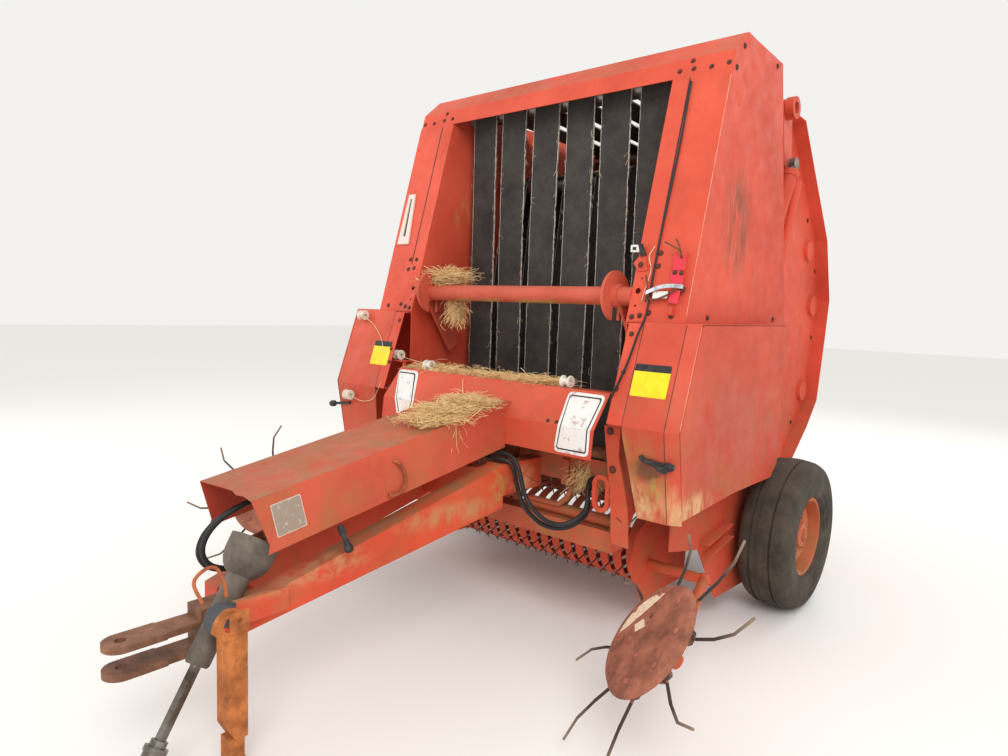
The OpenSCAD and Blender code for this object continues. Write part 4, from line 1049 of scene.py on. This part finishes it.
# The worn patches as (radius, degrees) round the disc
LENS = [(0.149, d) for d in range(118, 209, 6)] + [
    (0.118, 196), (0.104, 178), (0.100, 160), (0.108, 142), (0.128, 126)]
SQUARE = [(0.088, 186), (0.060, 200), (0.036, 150), (0.074, 158)]
for side_name, sign in SIDES:
    body = side_name + "_gather"
    level = np.array([sign * math.cos(TURN), -math.sin(TURN), 0.0])
    normal = np.array([-sign * math.cos(RISE) * math.sin(TURN),
                       -math.cos(RISE) * math.cos(TURN), math.sin(RISE)])
    climb = np.cross(normal, level)
    hub = GATHER_HUBS[side_name]

    def spoke(degrees):
        """The direction out from the hub at an angle round the disc."""
        angle = math.radians(degrees)
        return math.cos(angle) * level + math.sin(angle) * climb * sign

    heads = [round_head(hub + 0.150 * spoke(d), normal, 0.0115) for d in TINES]
    heads += [hex_head(hub + 0.070 * spoke(90 * k + 40), normal, 0.0075) for k in range(4)]
    piece("disc_bolts_" + side_name, stack(heads), body, disc_rust)
    coils = []
    turns = np.linspace(0, COIL_TURNS * 2 * math.pi, COIL_STEPS)[:, None]
    for d in TINES:
        foot = hub + 0.165 * spoke(d) - 0.032 * normal
        circle = COIL_R * (np.cos(turns) * spoke(d) + np.sin(turns) * normal)
        shift = (turns / turns[-1] - 0.5) * COIL_LENGTH * np.cross(normal, spoke(d))
        coils.append(tube(foot + circle + shift, 0.0040, 6))
    piece("tine_coils_" + side_name, stack(coils), body, coil_steel, smooth=True)
    patches = []
    for outline in (LENS, SQUARE):
        flat = [(r * math.cos(math.radians(d)), sign * r * math.sin(math.radians(d)))
                for r, d in outline][::sign]
        patches.append(plate_shape(flat, FOIL, hub + normal * 0.0006, level, climb))
    piece("disc_patches_" + side_name, stack(patches), body, peeled_cream)

# %% [markdown]
# Twine, wire and straw. The straw is thousands of bent three-sided stalks scattered round a few
# middles by a seeded random generator, over low mounds that keep the paint from showing through.

# %% Twine and straw
def line(points, radius, sag=0.0):
    """A thin round line through the points, let down in its middle by a sag."""
    path = smooth_path(points)[0]
    t = np.linspace(0, 1, len(path))
    path[:, 2] -= sag * 4 * t * (1 - t)
    return tube(path, radius, 6)


TWINE_R, THIN_R = 0.0016, 0.0014
twine = [
    line([at(-0.931, -1.062, 1.290),
          *upper.row((-0.86, 1.255, 0.006), (-0.765, 1.186, 0.004), (-0.700, 1.122, 0.012)),
          at(-0.661, -1.050, 1.104)], TWINE_R),
    line([at(-0.890, -1.170, 0.886),
          *lower.row((-0.820, 0.872, 0.012), (-0.750, 0.884, 0.012), (-0.700, 0.912, 0.014)),
          upper.place(-0.640, 0.968, 0.030)], THIN_R, 0.006),
    line([at(-0.661, -1.045, 1.107), at(-0.55, -1.04, 1.092), at(-0.432, -1.045, 1.080)],
         THIN_R, 0.004),
    line(post.row((0.690, 1.612, 0.012), (0.676, 1.570, 0.018), (0.690, 1.520, 0.010),
                  (0.682, 1.450, 0.012), (0.672, 1.400, 0.008)), TWINE_R),
    line(panel_high.row((-0.161, 1.033, 0.004), (-0.130, 0.995, 0.010),
                        (-0.096, 0.960, 0.012)), TWINE_R),
]
piece("twine", stack(twine), "frame", straw_pale, smooth=True)
wire = [at(0.300, -1.180, 0.690), at(0.36, -1.10, 0.662), at(0.43, -1.03, 0.650)]
piece("loose_wire", line(wire, TWINE_R, 0.018), "frame", bolt_brown, smooth=True)

MOUND_H = 0.020
MOUND_GRID = (23, 15)


def mound(middle, spread, turn=0.0):
    """A low lumpy mound: height falls off as (1 - u^2 - v^2) with noise on it."""
    u, v = np.meshgrid(*[np.linspace(-1, 1, n) for n in MOUND_GRID], indexing="ij")
    inside = np.clip(1 - u**2 - v**2, 0, 1) ** 0.6
    lumps = 1 + 0.25 * rng.normal(0, 1, u.shape)
    x = spread[0] * u * (1 + 0.05 * rng.normal(0, 1, u.shape))
    y = spread[1] * v * (1 + 0.05 * rng.normal(0, 1, u.shape))
    z = MOUND_H * inside * lumps - 0.002
    grid = np.stack([x, math.cos(turn) * y, z + math.sin(turn) * y], 2) + middle
    return grid.reshape(-1, 3), [grid_faces(*MOUND_GRID)]


mounds, heaps = [], []
# Heaps on the cover: x, y and half sizes
for x, y, half_x, half_y in (
        (0.078, -1.465, 0.078, 0.110), (0.035, -1.335, 0.100, 0.130),
        (0.030, -1.240, 0.090, 0.050)):
    z = COVER_TOP_Z + (y - COVER_FRONT_Y) * math.tan(COVER_SLOPE) + 0.002
    mounds.append(mound(at(x, y, z), (half_x, half_y), COVER_SLOPE))
    heaps.append(straw_heap(at(x, y, z + 0.013), (half_x * 1.05, half_y * 1.05, 0.011), 1500,
                            lie=0.14))
# Heaps along the centre panel's shelf: both ends, y, z and half depth
for x0, x1, y, z, depth in (
        (-0.560, -0.180, -1.005, 1.047, 0.038), (-0.200, 0.150, -0.995, 1.046, 0.034),
        (0.120, 0.330, -0.990, 1.046, 0.028)):
    middle, half = at((x0 + x1) / 2, y, z + 0.001), (x1 - x0) / 2
    mounds.append(mound(middle, (half + 0.02, depth)))
    heaps.append(straw_heap(middle + [0, 0, 0.010], (half, depth * 0.9, 0.009), 800, lie=0.16))
# Tufts on the tension arm, under it, over the cross member and over the cover's edge
for middle, spread, count, length, lie, droop in (
        ((-0.490, -0.890, 1.497), (0.125, 0.050, 0.034), 1100, (0.03, 0.09), 0.30, 0.0),
        ((-0.400, -0.900, 1.360), (0.035, 0.022, 0.060), 420, (0.03, 0.09), 0.5, 1.2),
        ((0.455, -0.985, 0.715), (0.040, 0.014, 0.045), 420, (0.04, 0.11), 0.5, 1.0),
        ((0.163, -1.450, 0.898), (0.004, 0.060, 0.012), 22, (0.03, 0.11), 0.3, 1.6)):
    heaps.append(straw_heap(at(*middle), spread, count, length, lie, droop))
piece("straw_mounds", stack(mounds), "frame", straw_gold, smooth=True)
piece("straw", stack(heaps), "frame", straw_gold)

# %% [markdown]
# The hoses are free: two loop out of the cover's front and back to a clip on the drawbar, and
# two hang in a U from the gearbox bracket to the left side. Each is a smooth curve through its
# route's points, in millimetres from the axle.

# %% Hoses
HOSE_R, HOSE_SIDES = 0.009, 14
front_route = [
    (-60, -2120, 700), (-60, -2150, 700), (-66, -2210, 690), (-84, -2275, 655),
    (-98, -2320, 605), (-104, -2335, 550), (-100, -2315, 505), (-92, -2270, 482),
    (-88, -2215, 480), (-88, -2190, 480),
]
side_route = [
    (110, -1215, 772), (160, -1215, 772), (218, -1215, 771), (256, -1215, 760),
    (282, -1215, 733), (299, -1215, 693), (313, -1215, 651), (331, -1215, 613),
    (357, -1215, 584), (390, -1215, 562), (427, -1214, 544), (463, -1210, 537),
    (495, -1200, 537), (522, -1182, 547), (538, -1155, 562), (544, -1118, 580),
    (540, -1094, 604), (530, -1076, 634), (518, -1058, 664), (510, -1036, 684),
    (508, -1016, 690), (508, -1000, 690),
]
side_route_b = [
    (110, -1238, 752), (130, -1238, 752), (165, -1238, 751), (200, -1234, 749),
    (228, -1226, 747), (247, -1217, 738), (257, -1209, 714), (262, -1203, 686),
    (268, -1200, 656), (279, -1198, 622), (296, -1198, 589), (320, -1198, 559),
    (355, -1196, 535), (398, -1193, 516), (443, -1187, 510), (482, -1174, 514),
    (511, -1152, 525), (527, -1122, 542), (532, -1088, 560), (528, -1068, 584),
    (520, -1056, 612), (512, -1042, 640), (508, -1026, 659), (507, -1012, 665),
    (507, -1000, 665),
]
BESIDE = (26, 0, 10)
hose_routes = {
    "hose_front_a": front_route,
    "hose_front_b": [np.add(point, BESIDE) for point in front_route],
    "hose_side_a": side_route,
    "hose_side_b": side_route_b,
}
for name, route in hose_routes.items():
    route_m = [at(x / 1000, y / 1000, z / 1000) for x, y, z in route]
    path, length = smooth_path(route_m)
    hose = piece(name + "_dressed", tube(path, HOSE_R, HOSE_SIDES), "frame", hose_black,
                 smooth=True)
    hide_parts(name)
print("hoses:", len(hose_routes))

# %% [markdown]
# The studio: a pale floor, a soft key light from the front left, a fill from the right, a weak
# light from behind, and a world bright enough that a colour renders about as it is written.

# %% Floor and light
FLOOR_HALF = 30.0
floor = add_object("floor", bpy.data.meshes.new("floor"))
floor.data.from_pydata(
    [(x * FLOOR_HALF, y * FLOOR_HALF, 0) for x, y in ((-1, -1), (1, -1), (1, 1), (-1, 1))],
    [], [(0, 1, 2, 3)])
floor.data.materials.append(Finish("studio_floor", 0.9).made(rgb(244, 243, 240)))


LIGHT_SIZE = 4.0


def area_light(name, place, target, power):
    """A square soft light at a place, turned to face a target."""
    data = bpy.data.lights.new(name, "AREA")
    data.size = LIGHT_SIZE
    data.energy = power
    back, side, other = frame_of(np.subtract(place, target))
    turn = Matrix([list(side), list(other), list(back)]).transposed().to_4x4()
    add_object(name, data).matrix_world = Matrix.Translation(place) @ turn


area_light("key", (4.5, -4.5, 5.5), (0, 0, 1), 250)
area_light("fill", (-5.5, -3.5, 3.5), (0, 0, 1), 80)
area_light("back", (1.0, 6.0, 5.0), (0, 0, 1.2), 110)
world = bpy.data.worlds.new("studio")
bpy.context.scene.world = world
world.use_nodes = True
background = world.node_tree.nodes["Background"]
background.inputs["Color"].default_value = rgb(252, 251, 248)
background.inputs["Strength"].default_value = 0.92
bpy.context.scene.view_settings.view_transform = "Standard"
